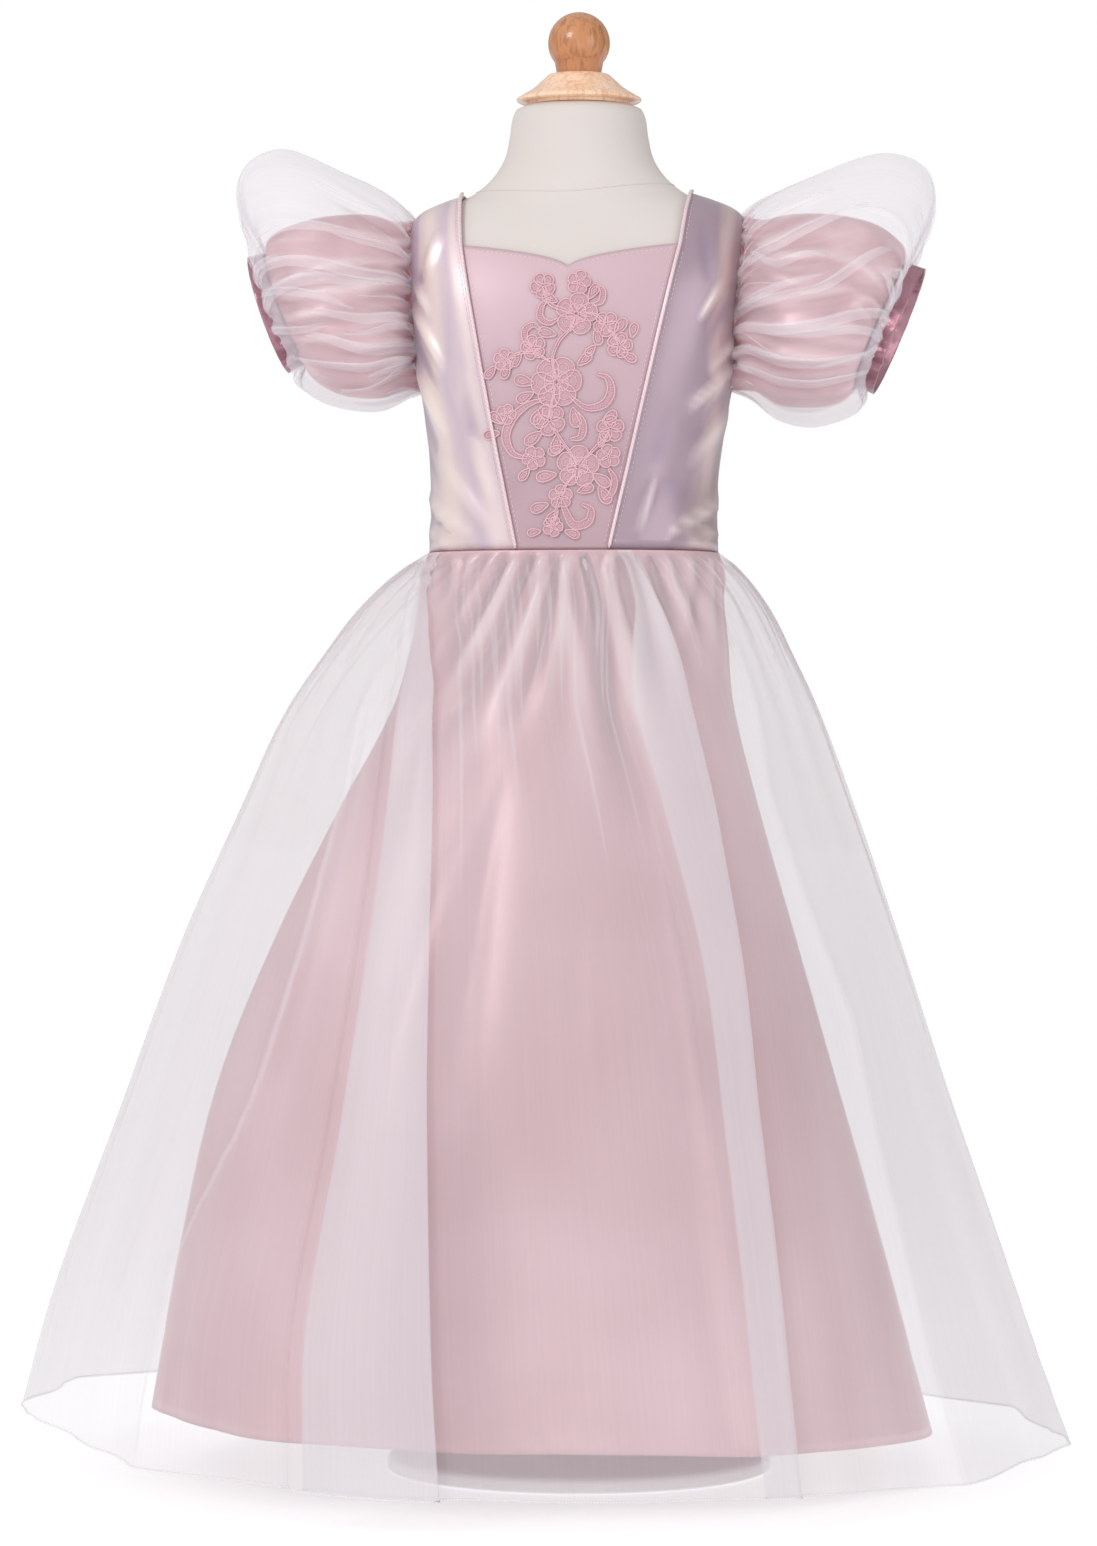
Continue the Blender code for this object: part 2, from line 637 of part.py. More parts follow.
def make_back(name, side):
    """A back half with the back of its strap. Its centre edge passes the centre line to close the back."""
    rows = side_rows()
    closure_rows = sum(1 for inner, _ in rows if inner <= BACK_TOP_ROW)
    sites, lift, index = [], [], {}

    def add(angle, height, raised=0.0):
        sites.append((angle if side > 0 else 180 - angle, height))
        lift.append(raised)
        return len(sites) - 1

    for r, (inner_height, outer_height) in enumerate(rows):
        strap_height, x = back_strap(inner_height)
        start = min(angle_at(x, strap_height, front=False), -SEAM_TURN)
        end = armhole_angle(outer_height, front=False) if outer_height > UNDERARM else 0.0
        end = min(end, -SEAM_TURN)
        for c in range(STRAP_COLUMNS):
            share = c / (STRAP_COLUMNS - 1)
            height = mix(strap_height, outer_height, share)
            index[r, CLOSURE_COLUMNS - 1 + c] = add(mix(start, end, share), height)
        if r >= closure_rows:
            continue
        centre_height = strap_height - BACK_NECK_DIP if r == closure_rows - 1 else strap_height
        for c in range(CLOSURE_COLUMNS - 1):
            share = c / (CLOSURE_COLUMNS - 1)
            height = mix(centre_height, strap_height, share)
            across = mix(-CLOSURE_OVERLAP, x, share)
            angle = angle_at(across, height, front=False)
            angle = angle - 360 if angle > 180 else angle
            raised = 0.0
            if side > 0:
                raised = (BODICE_CLOTH + SEAM_GAP) * (1 - smooth_step(across, CLOSURE_FLAT_X, CLOSURE_FADE_X))
            index[r, c] = add(angle, height, raised)
    cells = []
    for (r, c), here in index.items():
        right, above = index.get((r, c + 1)), index.get((r + 1, c))
        above_right = index.get((r + 1, c + 1))
        if None in (right, above, above_right):
            continue
        cells.append((here, above_right, right))
        cells.append((here, above, above_right))
    if side < 0:
        cells = [tuple(reversed(face)) for face in cells]
    return body_wall(name, cells, sites, "lame", lift)


def make_piping(name, side):
    """The corded piping on a princess seam, which runs on up the strap's edge to the shoulder."""
    lift = BODICE_CLOTH + PIPING_RADIUS + PIPING_GAP
    line = []
    for height in PIPING_ROWS:
        angle = angle_at(seam_x(height), height)
        angle = angle if side > 0 else 180 - angle
        normal = body_point(angle, height, 1.0) - body_point(angle, height)
        line.append((body_point(angle, height, cloth_offset(height) + lift), normal))
    points = []
    for i, (centre, normal) in enumerate(line):
        along = line[min(i + 1, len(line) - 1)][0] - line[max(i - 1, 0)][0]
        along /= np.linalg.norm(along)
        across = np.cross(along, normal)
        across /= np.linalg.norm(across)
        out = np.cross(across, along)
        for k in range(PIPING_SIDES):
            turn = math.tau * k / PIPING_SIDES
            points.append(centre + PIPING_RADIUS * (math.cos(turn) * across + math.sin(turn) * out))
    faces = grid_faces(len(line), PIPING_SIDES, closed=True)
    faces.append(tuple(range(PIPING_SIDES)))
    faces.append(tuple(reversed(range(len(points) - PIPING_SIDES, len(points)))))
    return add_object(name, points, faces, "piping")


# Skirts


def skirt_ring(height, width, sections, stand_off):
    """The function that gives x and y of a skirt's plain ring at an angle, moved out by a rise."""
    flare = (width - sections[0][1]) * FLARE_DEPTH_SHARE
    front, back = FORM_FRONT(WAIST) + stand_off + flare, FORM_BACK(WAIST) + stand_off + flare
    squareness = mix(HEM_SQUARENESS, WAIST_SQUARENESS, smooth_step(height, ROUND_BELOW, SQUARE_ABOVE))
    return lambda angle, rise=0.0: oval_point(angle, width + rise, front + rise, back + rise, squareness)


def hem_shift(angle, height, hem, plain):
    """How far a ring of the skirt moves up at an angle, so that the hem runs at its uneven height."""
    c, s = math.cos(math.radians(angle)), math.sin(math.radians(angle))
    right, front, left, back = hem
    wanted = c * c * (right if c > 0 else left) + s * s * (front if s > 0 else back)
    return (wanted - plain) * (1 - smooth_step(height, plain, plain + HEM_REACH))


def gather_depth(height, depth):
    """How deep the gathers are: none at the seam, full just below it and fading down the skirt."""
    below = WAIST - height
    return depth * min(below / GATHER_START, 1.0) * math.exp(-below / GATHER_REACH) if below > 1 else 0.0


def fold_rise(folds, angle, height, hem):
    """How far the soft folds move the cloth out at an angle and height, most at the hem."""
    rise = 0.0
    for centre, half_span, top_rise, fade in folds:
        away = abs((angle - centre + 180) % 360 - 180)
        if away < half_span and height < fade:
            reach = ((fade - height) / (fade - hem)) ** FOLD_GROWTH
            rise += top_rise * reach * (0.5 + 0.5 * math.cos(math.pi * away / half_span))
    return rise


def with_normals(rings, closed):
    """The unit normal of each point of a grid of rings, pointing away from the body on a plain stretch."""
    grid = np.array(rings)
    if closed:
        across = np.roll(grid, -1, axis=1) - np.roll(grid, 1, axis=1)
    else:
        across = np.gradient(grid, axis=1)
    up = np.gradient(grid, axis=0)
    normals = np.cross(up, across)
    return normals / np.linalg.norm(normals, axis=2, keepdims=True)


def sliced(name, grid, normals, first, last, thickness, finish):
    """One panel of a skirt: columns first to last of the grid, drawn in from the seams, as a wall."""
    total = grid.shape[1]
    columns = [i % total for i in range(first, last + 1)]
    part = grid[:, columns].copy()
    face = normals[:, columns]
    for end, neighbour in ((0, 1), (-1, -2)):
        step = part[:, neighbour] - part[:, end]
        part[:, end] += step / np.linalg.norm(step, axis=1, keepdims=True) * SEAM_GAP / 2
    outer = (part + face * thickness / 2).reshape(-1, 3)
    inner = (part - face * thickness / 2).reshape(-1, 3)
    return wall(name, grid_faces(part.shape[0], part.shape[1]), inner, outer, finish)


def make_satin_skirt():
    """The satin skirt: a front and two back panels, gathered at the waist and flared to the hem."""
    width_at, centre_at = through(SATIN_SECTIONS, 1), through(SATIN_SECTIONS, 2)
    hem = SATIN_SECTIONS[-1][0]
    rings = []
    for height, *_ in reversed(SATIN_SECTIONS):
        plain = skirt_ring(height, width_at(height), SATIN_SECTIONS, SATIN_STAND_OFF)
        depth = gather_depth(height, SATIN_GATHER)
        ring = []
        for c in range(SATIN_COLUMNS):
            angle = -90 + 360 * c / SATIN_COLUMNS
            rise = fold_rise(SATIN_FOLDS, angle, height, hem)
            rise += depth * math.cos(math.tau * c / GATHER_COLUMNS)
            x, y = plain(angle, rise)
            ring.append((x + centre_at(height), y, height + hem_shift(angle, height, SATIN_HEM, hem)))
        rings.append(ring)
    grid, normals = np.array(rings), with_normals(rings, closed=True)
    quarter = SATIN_COLUMNS // 4
    sliced("satin_skirt_back_right", grid, normals, 0, quarter, SKIRT_CLOTH, "satin")
    sliced("satin_skirt_front", grid, normals, quarter, 3 * quarter, SKIRT_CLOTH, "satin")
    sliced("satin_skirt_back_left", grid, normals, 3 * quarter, 4 * quarter, SKIRT_CLOTH, "satin")


def pleat_point(step, overlap, spacing):
    """Across and out of one of the points through a pleat, whose three layers lie on each other."""
    across, lead, layer = PLEAT_SHAPE[step]
    return across * overlap / 2 + lead * PLEAT_LEAD, layer * spacing


def make_organza_skirt():
    """The full organza overlay in three panels, which meet inside the two deep pleats and at the back."""
    width_at, centre_at = through(ORGANZA_SECTIONS, 1), through(ORGANZA_SECTIONS, 2)
    hem = ORGANZA_SECTIONS[-1][0]
    pleats = [[through(table, column) for column in (1, 2, 3)] for table in (RIGHT_PLEAT, LEFT_PLEAT)]
    rings = []
    for height, *_ in reversed(ORGANZA_SECTIONS):
        plain = skirt_ring(height, width_at(height), ORGANZA_SECTIONS, ORGANZA_STAND_OFF)
        depth = gather_depth(height, ORGANZA_GATHER)
        stops, turns = [-90.0], []
        for edge_at, overlap_at, _ in pleats:
            per_mm = math.degrees(1 / math.hypot(*plain(edge_at(height))))
            centre = edge_at(height) + overlap_at(height) / 2 * per_mm
            reach = (overlap_at(height) / 2 + PLEAT_LEAD) * per_mm
            stops += [centre - reach, centre + reach]
            turns.append((centre, per_mm))
        stops.append(270.0)
        ring = []
        for zone, count in enumerate(ORGANZA_COLUMNS):
            for step in range(count):
                if zone in (1, 3):
                    centre, per_mm = turns[zone // 2]
                    _, overlap_at, spacing_at = pleats[zone // 2]
                    across, rise = pleat_point(step, overlap_at(height), spacing_at(height))
                    angle = centre + across * per_mm
                else:
                    angle = mix(stops[zone], stops[zone + 1], step / count)
                    rise = fold_rise(ORGANZA_FOLDS, angle, height, hem)
                    rise += depth * math.cos(math.tau * len(ring) / GATHER_COLUMNS)
                x, y = plain(angle, rise)
                ring.append((x + centre_at(height), y, height + hem_shift(angle, height, ORGANZA_HEM, hem)))
        rings.append(ring)
    grid, normals = np.array(rings), with_normals(rings, closed=True)
    half = len(PLEAT_SHAPE) // 2
    right_seam = ORGANZA_COLUMNS[0] + half
    left_seam = sum(ORGANZA_COLUMNS[:3]) + half
    sliced("organza_skirt_right", grid, normals, 0, right_seam, SKIRT_CLOTH, "organza")
    sliced("organza_skirt_front", grid, normals, right_seam, left_seam, SKIRT_CLOTH, "organza")
    sliced("organza_skirt_left", grid, normals, left_seam, sum(ORGANZA_COLUMNS), SKIRT_CLOTH, "organza")


# Sleeves


def armhole_ring(side, inset, offset):
    """Points round the armhole, inset from its edge and off the form, from the top over the front."""
    ring = []
    for c in range(SLEEVE_COLUMNS):
        turn = math.tau * c / SLEEVE_COLUMNS
        height = ARMHOLE_CENTRE + (ARMHOLE_HALF_HEIGHT - inset) * math.cos(turn)
        angle = armhole_angle(height, front=math.sin(turn) >= 0, inset=inset)
        ring.append(body_point(angle if side > 0 else 180 - angle, height, offset))
    return ring


def sleeve_ring(side, top_x, top_z, bottom_x, bottom_z, half_depth, gather=0.0):
    """Points round a sleeve ring, from its top over the front, with a gather at every second point."""
    centre = np.array((side * (top_x + bottom_x) / 2, 0.0, (top_z + bottom_z) / 2))
    up = np.array((side * (top_x - bottom_x) / 2, 0.0, (top_z - bottom_z) / 2))
    front = np.array((0.0, -half_depth, 0.0))
    ring = []
    for c in range(SLEEVE_COLUMNS):
        turn = math.tau * c / SLEEVE_COLUMNS
        arm = up * math.cos(turn) + front * math.sin(turn)
        ring.append(centre + arm * (1 + gather * (-1) ** c / np.linalg.norm(arm)))
    return ring


def tube_wall(name, rings, side, finish):
    """A tube of cloth through rings that run outwards from the body."""
    grid = np.array(rings)
    normals = with_normals(rings, closed=True) * -side
    outer = (grid + normals * SLEEVE_CLOTH / 2).reshape(-1, 3)
    inner = (grid - normals * SLEEVE_CLOTH / 2).reshape(-1, 3)
    cells = grid_faces(grid.shape[0], grid.shape[1], closed=True)
    if side > 0:
        cells = [tuple(reversed(face)) for face in cells]
    return wall(name, cells, inner, outer, finish)


def make_sleeve(word, side):
    """A puffed satin sleeve, its larger organza puff, and the band that both are gathered into."""
    organza_inset = SEAM_GAP + SLEEVE_CLOTH / 2
    satin_inset = organza_inset + SLEEVE_CLOTH + SEAM_GAP
    start = SLEEVE_CLEARANCE
    for cloth, inset in (("satin", satin_inset), ("organza", organza_inset)):
        rings = [armhole_ring(side, inset, start), armhole_ring(side, inset, start + ARMHOLE_STEP)]
        rings += [sleeve_ring(side, *row) for row in SLEEVES[word][cloth]]
        tube_wall(f"sleeve_{cloth}_{word}", rings, side, cloth)
    rings = [sleeve_ring(side, *row) for row in SLEEVES[word]["cuff"]]
    tube_wall(f"sleeve_cuff_{word}", rings, side, "foil_cuff")


# Lace


def smooth_line(points, steps=2):
    """A Catmull-Rom line through points of x and height."""
    ends = [np.array(p) for p in (points[0], *points, points[-1])]
    line = []
    for before, here, there, after in zip(ends[:-3], ends[1:-2], ends[2:-1], ends[3:]):
        for step in range(steps):
            t = step / steps
            line.append(
                here
                + t * (there - before) / 2
                + t**2 * (2 * before - 5 * here + 4 * there - after) / 2
                + t**3 * (3 * here - before - 3 * there + after) / 2
            )
    return line + [ends[-1]]


def flat_motif(outline):
    """A flat plate of unit thickness with the outline, in the plane of x and height."""
    mesh = bpy.data.meshes.new("motif")
    count = len(outline)
    points = [(x, 0.0, z) for x, z in outline] + [(x, -1.0, z) for x, z in outline]
    faces = [tuple(range(count)), tuple(reversed(range(count, 2 * count)))]
    faces += [((i + 1) % count, i, i + count, (i + 1) % count + count) for i in range(count)]
    mesh.from_pydata(points, [], faces)
    work = bmesh.new()
    work.from_mesh(mesh)
    bmesh.ops.recalc_face_normals(work, faces=work.faces)
    work.to_mesh(mesh)
    work.free()
    return bpy.data.objects.new("motif", mesh)


def blossom_outline(x, height, radius, petals):
    """The outline of an open blossom with round petals."""
    per_petal = 3 if radius > LACE_LARGE_BLOSSOM else 2
    outline = []
    for i in range(petals * per_petal):
        turn = math.tau * i / (petals * per_petal)
        reach = radius * (1 - LACE_PETAL_DEPTH + LACE_PETAL_DEPTH * abs(math.sin(petals * turn / 2)))
        outline.append((x + reach * math.cos(turn), height + reach * math.sin(turn)))
    return outline


def stem_outline(points):
    """The outline of a stem that narrows towards its ends."""
    line = smooth_line(points)
    left, right = [], []
    for i, here in enumerate(line):
        along = line[min(i + 1, len(line) - 1)] - line[max(i - 1, 0)]
        across = np.array((-along[1], along[0])) / np.linalg.norm(along)
        half = LACE_STEM_WIDTH / 2 * (1 - LACE_STEM_TAPER * abs(2 * i / (len(line) - 1) - 1) ** 3)
        left.append(tuple(here + across * half))
        right.append(tuple(here - across * half))
    return left + right[::-1]


def make_lace():
    """The corded lace on the centre front, joined flat and then laid on the panel's curve."""
    motifs = [flat_motif(blossom_outline(*row)) for row in LACE_BLOSSOMS]
    motifs += [flat_motif(stem_outline(points)) for points in LACE_STEMS]
    group = bpy.data.collections.new("motifs")
    bpy.context.scene.collection.children.link(group)
    base = motifs[0]
    bpy.context.scene.collection.objects.link(base)
    for motif in motifs[1:]:
        group.objects.link(motif)
    union = base.modifiers.new("joined", "BOOLEAN")
    union.operation = "UNION"
    union.solver = "EXACT"
    union.use_self = True
    union.operand_type = "COLLECTION"
    union.collection = group
    view = bpy.context.evaluated_depsgraph_get()
    mesh = bpy.data.meshes.new_from_object(base.evaluated_get(view))
    for motif in motifs:
        bpy.data.objects.remove(motif, do_unlink=True)
    bpy.data.collections.remove(group)

    work = bmesh.new()
    work.from_mesh(mesh)
    bmesh.ops.remove_doubles(work, verts=work.verts, dist=LACE_CLEAN)
    bmesh.ops.dissolve_limit(work, angle_limit=math.radians(1), verts=work.verts, edges=work.edges)
    cuts = [((x, 0, 0), (1, 0, 0)) for x in LACE_CUTS_ACROSS]
    cuts += [((0, 0, z), (0, 0, 1)) for z in LACE_CUTS_UP]
    for place, direction in cuts:
        geom = work.verts[:] + work.edges[:] + work.faces[:]
        bmesh.ops.bisect_plane(work, geom=geom, dist=LACE_CLEAN, plane_co=place, plane_no=direction)
    bmesh.ops.triangulate(work, faces=work.faces)
    base_offset = CLEARANCE + BODICE_CLOTH + LACE_GAP
    for vert in work.verts:
        x, y, z = vert.co
        offset = base_offset - y * LACE_THICKNESS
        vert.co = [c * MM for c in body_point(angle_at(x, z), z, offset)]
    bmesh.ops.recalc_face_normals(work, faces=work.faces)
    work.to_mesh(mesh)
    work.free()
    mesh.name = "lace_applique"
    return finished("lace_applique", mesh, "lace")


def main():
    for obj in list(bpy.data.objects):
        bpy.data.objects.remove(obj, do_unlink=True)
    make_form()
    make_stand()
    make_centre_front()
    make_side_front("bodice_side_front_right", 1)
    make_side_front("bodice_side_front_left", -1)
    make_back("bodice_back_right", 1)
    make_back("bodice_back_left", -1)
    make_piping("piping_right", 1)
    make_piping("piping_left", -1)
    make_lace()
    make_satin_skirt()
    make_organza_skirt()
    make_sleeve("right", 1)
    make_sleeve("left", -1)


main()
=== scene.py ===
"""Princess costume dress, child size 5, on a limbless dress form with a turned neck cap and ball.

The sizes in the tables are millimetres and become metres where a mesh is made. Angles run round the
body in degrees, from the picture's right (0) over the front (90) to its left (180) and the back (270).
"""

import math
import random

import bmesh
import bpy
import numpy as np
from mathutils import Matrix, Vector


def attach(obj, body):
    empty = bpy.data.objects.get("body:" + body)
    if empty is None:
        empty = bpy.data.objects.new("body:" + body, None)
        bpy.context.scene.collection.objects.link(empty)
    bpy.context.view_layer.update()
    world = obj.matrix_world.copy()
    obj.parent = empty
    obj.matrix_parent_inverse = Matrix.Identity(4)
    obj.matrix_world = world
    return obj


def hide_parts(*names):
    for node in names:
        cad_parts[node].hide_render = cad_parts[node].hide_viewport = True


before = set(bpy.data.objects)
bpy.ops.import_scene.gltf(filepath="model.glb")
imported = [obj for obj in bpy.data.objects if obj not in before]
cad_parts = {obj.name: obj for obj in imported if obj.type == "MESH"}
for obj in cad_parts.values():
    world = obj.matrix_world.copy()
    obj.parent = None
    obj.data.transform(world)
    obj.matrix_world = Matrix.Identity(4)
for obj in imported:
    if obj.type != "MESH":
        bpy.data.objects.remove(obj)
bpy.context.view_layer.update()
bpy.ops.object.select_all(action="DESELECT")
MM = 0.001

# The form's torso: a padded hollow shell, covered in matt off-white cotton that is stretched over it
# and sewn shut. Only the neck and the upper chest show above the dress.

# height, half_width, front_depth, back_depth, squareness
FORM_SECTIONS = (
    (497, 92, 66, 68, 2.2),
    (506, 98.5, 72, 74, 2.3),
    (535, 101, 75, 79, 2.3),
    (575, 98.5, 75, 77, 2.3),
    (622, 96, 73, 72, 2.4),
    (660, 95, 72.5, 70, 2.4),
    (700, 98.5, 74.5, 71, 2.5),
    (730, 103, 75.5, 73, 2.6),
    (765, 108, 74, 76, 2.8),
    (800, 111.5, 69, 77, 2.9),
    (826, 113, 60, 72, 2.8),
    (843, 111.5, 52, 63, 2.5),
    (852, 105, 47, 56, 2.2),
    (858, 91.5, 44.5, 52, 2.1),
    (863, 77, 43, 49, 2),
    (870, 66, 42, 47, 2),
    (879, 57, 41.5, 45.5, 2),
    (890, 50.5, 41.5, 44.5, 2),
    (905, 47, 41.5, 43.5, 2),
    (919, 44.5, 41, 42, 2),
    (924, 41, 38, 39, 2),
    (925.5, 37, 34, 35, 2),
)
WAIST, NECK_TOP, SHOULDER_TIP, WAIST_LEAN = 622.0, 925.5, 849.0, -3.5


def along(table, column):
    """A smooth function of height through one column of a table, without overshoot."""
    rows = np.array(sorted(table))
    heights, values = rows[:, 0], rows[:, column]
    secants = np.diff(values) / np.diff(heights)
    slopes = np.concatenate([secants[:1], (secants[:-1] + secants[1:]) / 2, secants[-1:]])
    limit = 3 * np.minimum(abs(secants[:-1]), abs(secants[1:]))
    slopes[1:-1] = np.clip(slopes[1:-1], -limit, limit) * (secants[:-1] * secants[1:] > 0)

    def value(height):
        height = np.clip(height, heights[0], heights[-1])
        i = np.clip(np.searchsorted(heights, height, side="right") - 1, 0, len(heights) - 2)
        span = heights[i + 1] - heights[i]
        t = (height - heights[i]) / span
        near = (2 * t**3 - 3 * t**2 + 1) * values[i] + (t**3 - 2 * t**2 + t) * span * slopes[i]
        return near + (3 * t**2 - 2 * t**3) * values[i + 1] + (t**3 - t**2) * span * slopes[i + 1]

    return value


def smooth_step(value, low, high):
    t = np.clip((value - low) / (high - low), 0.0, 1.0)
    return t * t * (3 - 2 * t)


def mix(a, b, share):
    return a + (b - a) * share


form_width, form_front, form_back, form_squareness = [along(FORM_SECTIONS, i) for i in (1, 2, 3, 4)]


def oval(angle, width, front, back, squareness):
    """x and y of a squared oval in the direction of an angle. The front is at -Y."""
    c, s = np.cos(np.radians(angle)), np.sin(np.radians(angle))
    depth = np.where(s > 0, front, back)
    radius = (abs(c / width) ** squareness + abs(s / depth) ** squareness) ** (-1 / squareness)
    return radius * c, -radius * s


def form_surface(angle, height):
    x, y = oval(angle, form_width(height), form_front(height), form_back(height), form_squareness(height))
    lean = WAIST_LEAN * (1 - smooth_step(height, WAIST, SHOULDER_TIP))
    return np.stack(np.broadcast_arrays(x + lean, y, height), axis=-1)


def on_form(angle, height, offset=0.0):
    """Points on the form's surface, moved out along its normal."""
    angle, height, offset = np.broadcast_arrays(np.asarray(angle, float), height, offset)
    across = form_surface(angle + 0.5, height) - form_surface(angle - 0.5, height)
    up = form_surface(angle, np.minimum(height + 0.5, NECK_TOP)) - form_surface(angle, height - 0.5)
    normal = np.cross(up, across)
    normal /= np.linalg.norm(normal, axis=-1, keepdims=True)
    return form_surface(angle, height) + offset[..., None] * normal


def angle_at(x, height, front=True):
    """The angle at which the form's front or back lies at a distance x from the centre line."""
    width, n = form_width(height), form_squareness(height)
    depth = form_front(height) if front else form_back(height)
    y = depth * np.maximum(1 - np.minimum(abs(x) / width, 1.0) ** n, 0.0) ** (1 / n)
    angle = np.degrees(np.arctan2(y if front else -y, x))
    return np.where(angle < -90.001, angle + 360, angle)


def linear(code):
    """An sRGB hex colour as linear red, green, blue and alpha."""
    values = [int(code[i:i + 2], 16) / 255 for i in (0, 2, 4)]
    return (*[v / 12.92 if v <= 0.04045 else ((v + 0.055) / 1.055) ** 2.4 for v in values], 1.0)


def add_node(tree, kind, values=None, links=None, **settings):
    """A node with its settings, its inputs' values, of which a colour is a hex code, and its links."""
    node = tree.nodes.new(kind)
    for name, value in settings.items():
        setattr(node, name, value)
    for name, value in (values or {}).items():
        node.inputs[name].default_value = linear(value) if isinstance(value, str) else value
    for name, (source, output) in (links or {}).items():
        tree.links.new(source.outputs[output], node.inputs[name])
    return node


def new_finish(name, **values):
    """A material named for the real one, its node tree and its shader with the plain values set."""
    finish = bpy.data.materials.new(name)
    finish.use_nodes = True
    shader = finish.node_tree.nodes["Principled BSDF"]
    for socket, value in values.items():
        shader.inputs[socket.replace("_", " ")].default_value = value
    return finish, finish.node_tree, shader


# The sockets of a Mix node that hold its two colours, and its output of the mixed one
A, B, MIXED = 6, 7, 2


def dress_shader(tree, shader, colour, height, strength, distance):
    """Joins a mixed colour to the shader, and the output of a node as a relief with its depth in metres."""
    tree.links.new(colour.outputs[MIXED], shader.inputs["Base Color"])
    bump = add_node(
        tree, "ShaderNodeBump", {"Strength": strength, "Distance": distance}, {"Height": height}
    )
    tree.links.new(bump.outputs["Normal"], shader.inputs["Normal"])


def grid_quads(rows, columns, closed=False):
    """Faces of a grid of points held row by row, with columns along the angle and rows upwards."""
    quads = []
    for r in range(rows - 1):
        for c in range(columns if closed else columns - 1):
            here, right = r * columns + c, r * columns + (c + 1) % columns
            quads.append((here, here + columns, right + columns, right))
    return quads


def write_uv(mesh, name, uv):
    """A UV map from the place of each point."""
    layer = mesh.uv_layers.new(name=name)
    corners = np.zeros(len(mesh.loops), int)
    mesh.loops.foreach_get("vertex_index", corners)
    layer.data.foreach_set("uv", np.asarray(uv, float).reshape(-1, 2)[corners].ravel())


def add_piece(name, points, faces, finish, uv=None, fold=None):
    """A piece from points in millimetres, shaded smooth, with each point's place on the cloth as its UV.

    The fold says how high each point stands in the creases, from 0 in a trough to 1 on a ridge; the satin
    finishes paint shade in the troughs and a highlight on the ridges from it.
    """
    mesh = bpy.data.meshes.new(name)
    mesh.from_pydata((np.asarray(points, float).reshape(-1, 3) * MM).tolist(), [], faces)
    mesh.materials.append(finish)
    mesh.shade_smooth()
    if uv is not None:
        write_uv(mesh, "cloth", uv)
    if fold is not None:
        mesh.attributes.new("fold", "FLOAT", "POINT").data.foreach_set("value", np.clip(fold, 0, 1).ravel())
    piece = bpy.data.objects.new(name, mesh)
    bpy.context.scene.collection.objects.link(piece)
    return piece


def finish_with(piece, kind, **settings):
    """A modifier on the piece, applied at once."""
    change = piece.modifiers.new(kind.title(), kind)
    for name, value in settings.items():
        setattr(change, name, value)
    bpy.context.view_layer.objects.active = piece
    piece.select_set(True)
    bpy.ops.object.modifier_apply(modifier=change.name)
    piece.select_set(False)


def cloth_uv(grid):
    """The place of each point of a grid on its cloth in metres: across at the widest row, and along."""
    across = np.linalg.norm(np.diff(grid, axis=1), axis=2)
    widest = across[across.sum(axis=1).argmax()]
    u = np.concatenate([[0.0], np.cumsum(widest)])
    v = np.linalg.norm(np.diff(grid, axis=0), axis=2).cumsum(axis=0)
    v = np.vstack([np.zeros(grid.shape[1]), v])
    return np.stack([np.broadcast_to(u, v.shape), v], axis=-1) * MM


def creased(across, up, creases):
    """The rise of soft creases. Each runs from one point to another, with its half width and rise."""
    rise = np.zeros(np.broadcast(across, up).shape)
    for across_0, up_0, across_1, up_1, half_width, height in creases:
        run, climb = across_1 - across_0, up_1 - up_0
        length = math.hypot(run, climb)
        share = ((across - across_0) * run + (up - up_0) * climb) / length**2
        aside = ((across - across_0) * climb - (up - up_0) * run) / length
        fade = np.sin(np.pi * np.clip(share, 0, 1)) ** 0.8
        rise += height * fade * np.exp(-((aside / half_width) ** 2))
    return rise


cover, tree, shader = new_finish("stretched_cotton_cover", Roughness=0.85, Sheen_Weight=0.15)
# Plain weave of about 0.5 mm, drawn at 1.2 mm so that it shows, with a faint mottle of handling.
place = add_node(tree, "ShaderNodeTexCoord")
mottle = add_node(tree, "ShaderNodeTexNoise", {"Scale": 14.0, "Detail": 3.0}, {"Vector": (place, "Object")})
colour = add_node(
    tree, "ShaderNodeMix", {A: "D0C7C2", B: "D9D2CE"}, {"Factor": (mottle, "Fac")}, data_type="RGBA"
)
weave = add_node(tree, "ShaderNodeTexVoronoi", {"Scale": 830.0}, {"Vector": (place, "Object")})
dress_shader(tree, shader, colour, (weave, "Distance"), 0.12, 0.0003)

FORM_COLUMNS = 120
form_rows = np.concatenate(
    [[497.0, 499.0, 502.0, 506.0], np.linspace(512, 800, 26), np.linspace(805, NECK_TOP, 48)]
)
turns = np.arange(FORM_COLUMNS) * 360 / FORM_COLUMNS
ring_angles, ring_heights = np.meshgrid(turns, form_rows)
faces = grid_quads(len(form_rows), FORM_COLUMNS, closed=True)
rim = len(form_rows) * FORM_COLUMNS - 1
faces += [tuple(range(FORM_COLUMNS)), tuple(range(rim, rim - FORM_COLUMNS, -1))]
torso = add_piece("torso", on_form(ring_angles, ring_heights), faces, cover)
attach(torso, "root")
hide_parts("form_torso")


def distance_along(line):
    """The distance of each point of a line from its start."""
    return np.concatenate([[0.0], np.linalg.norm(np.diff(line, axis=0), axis=1).cumsum()])


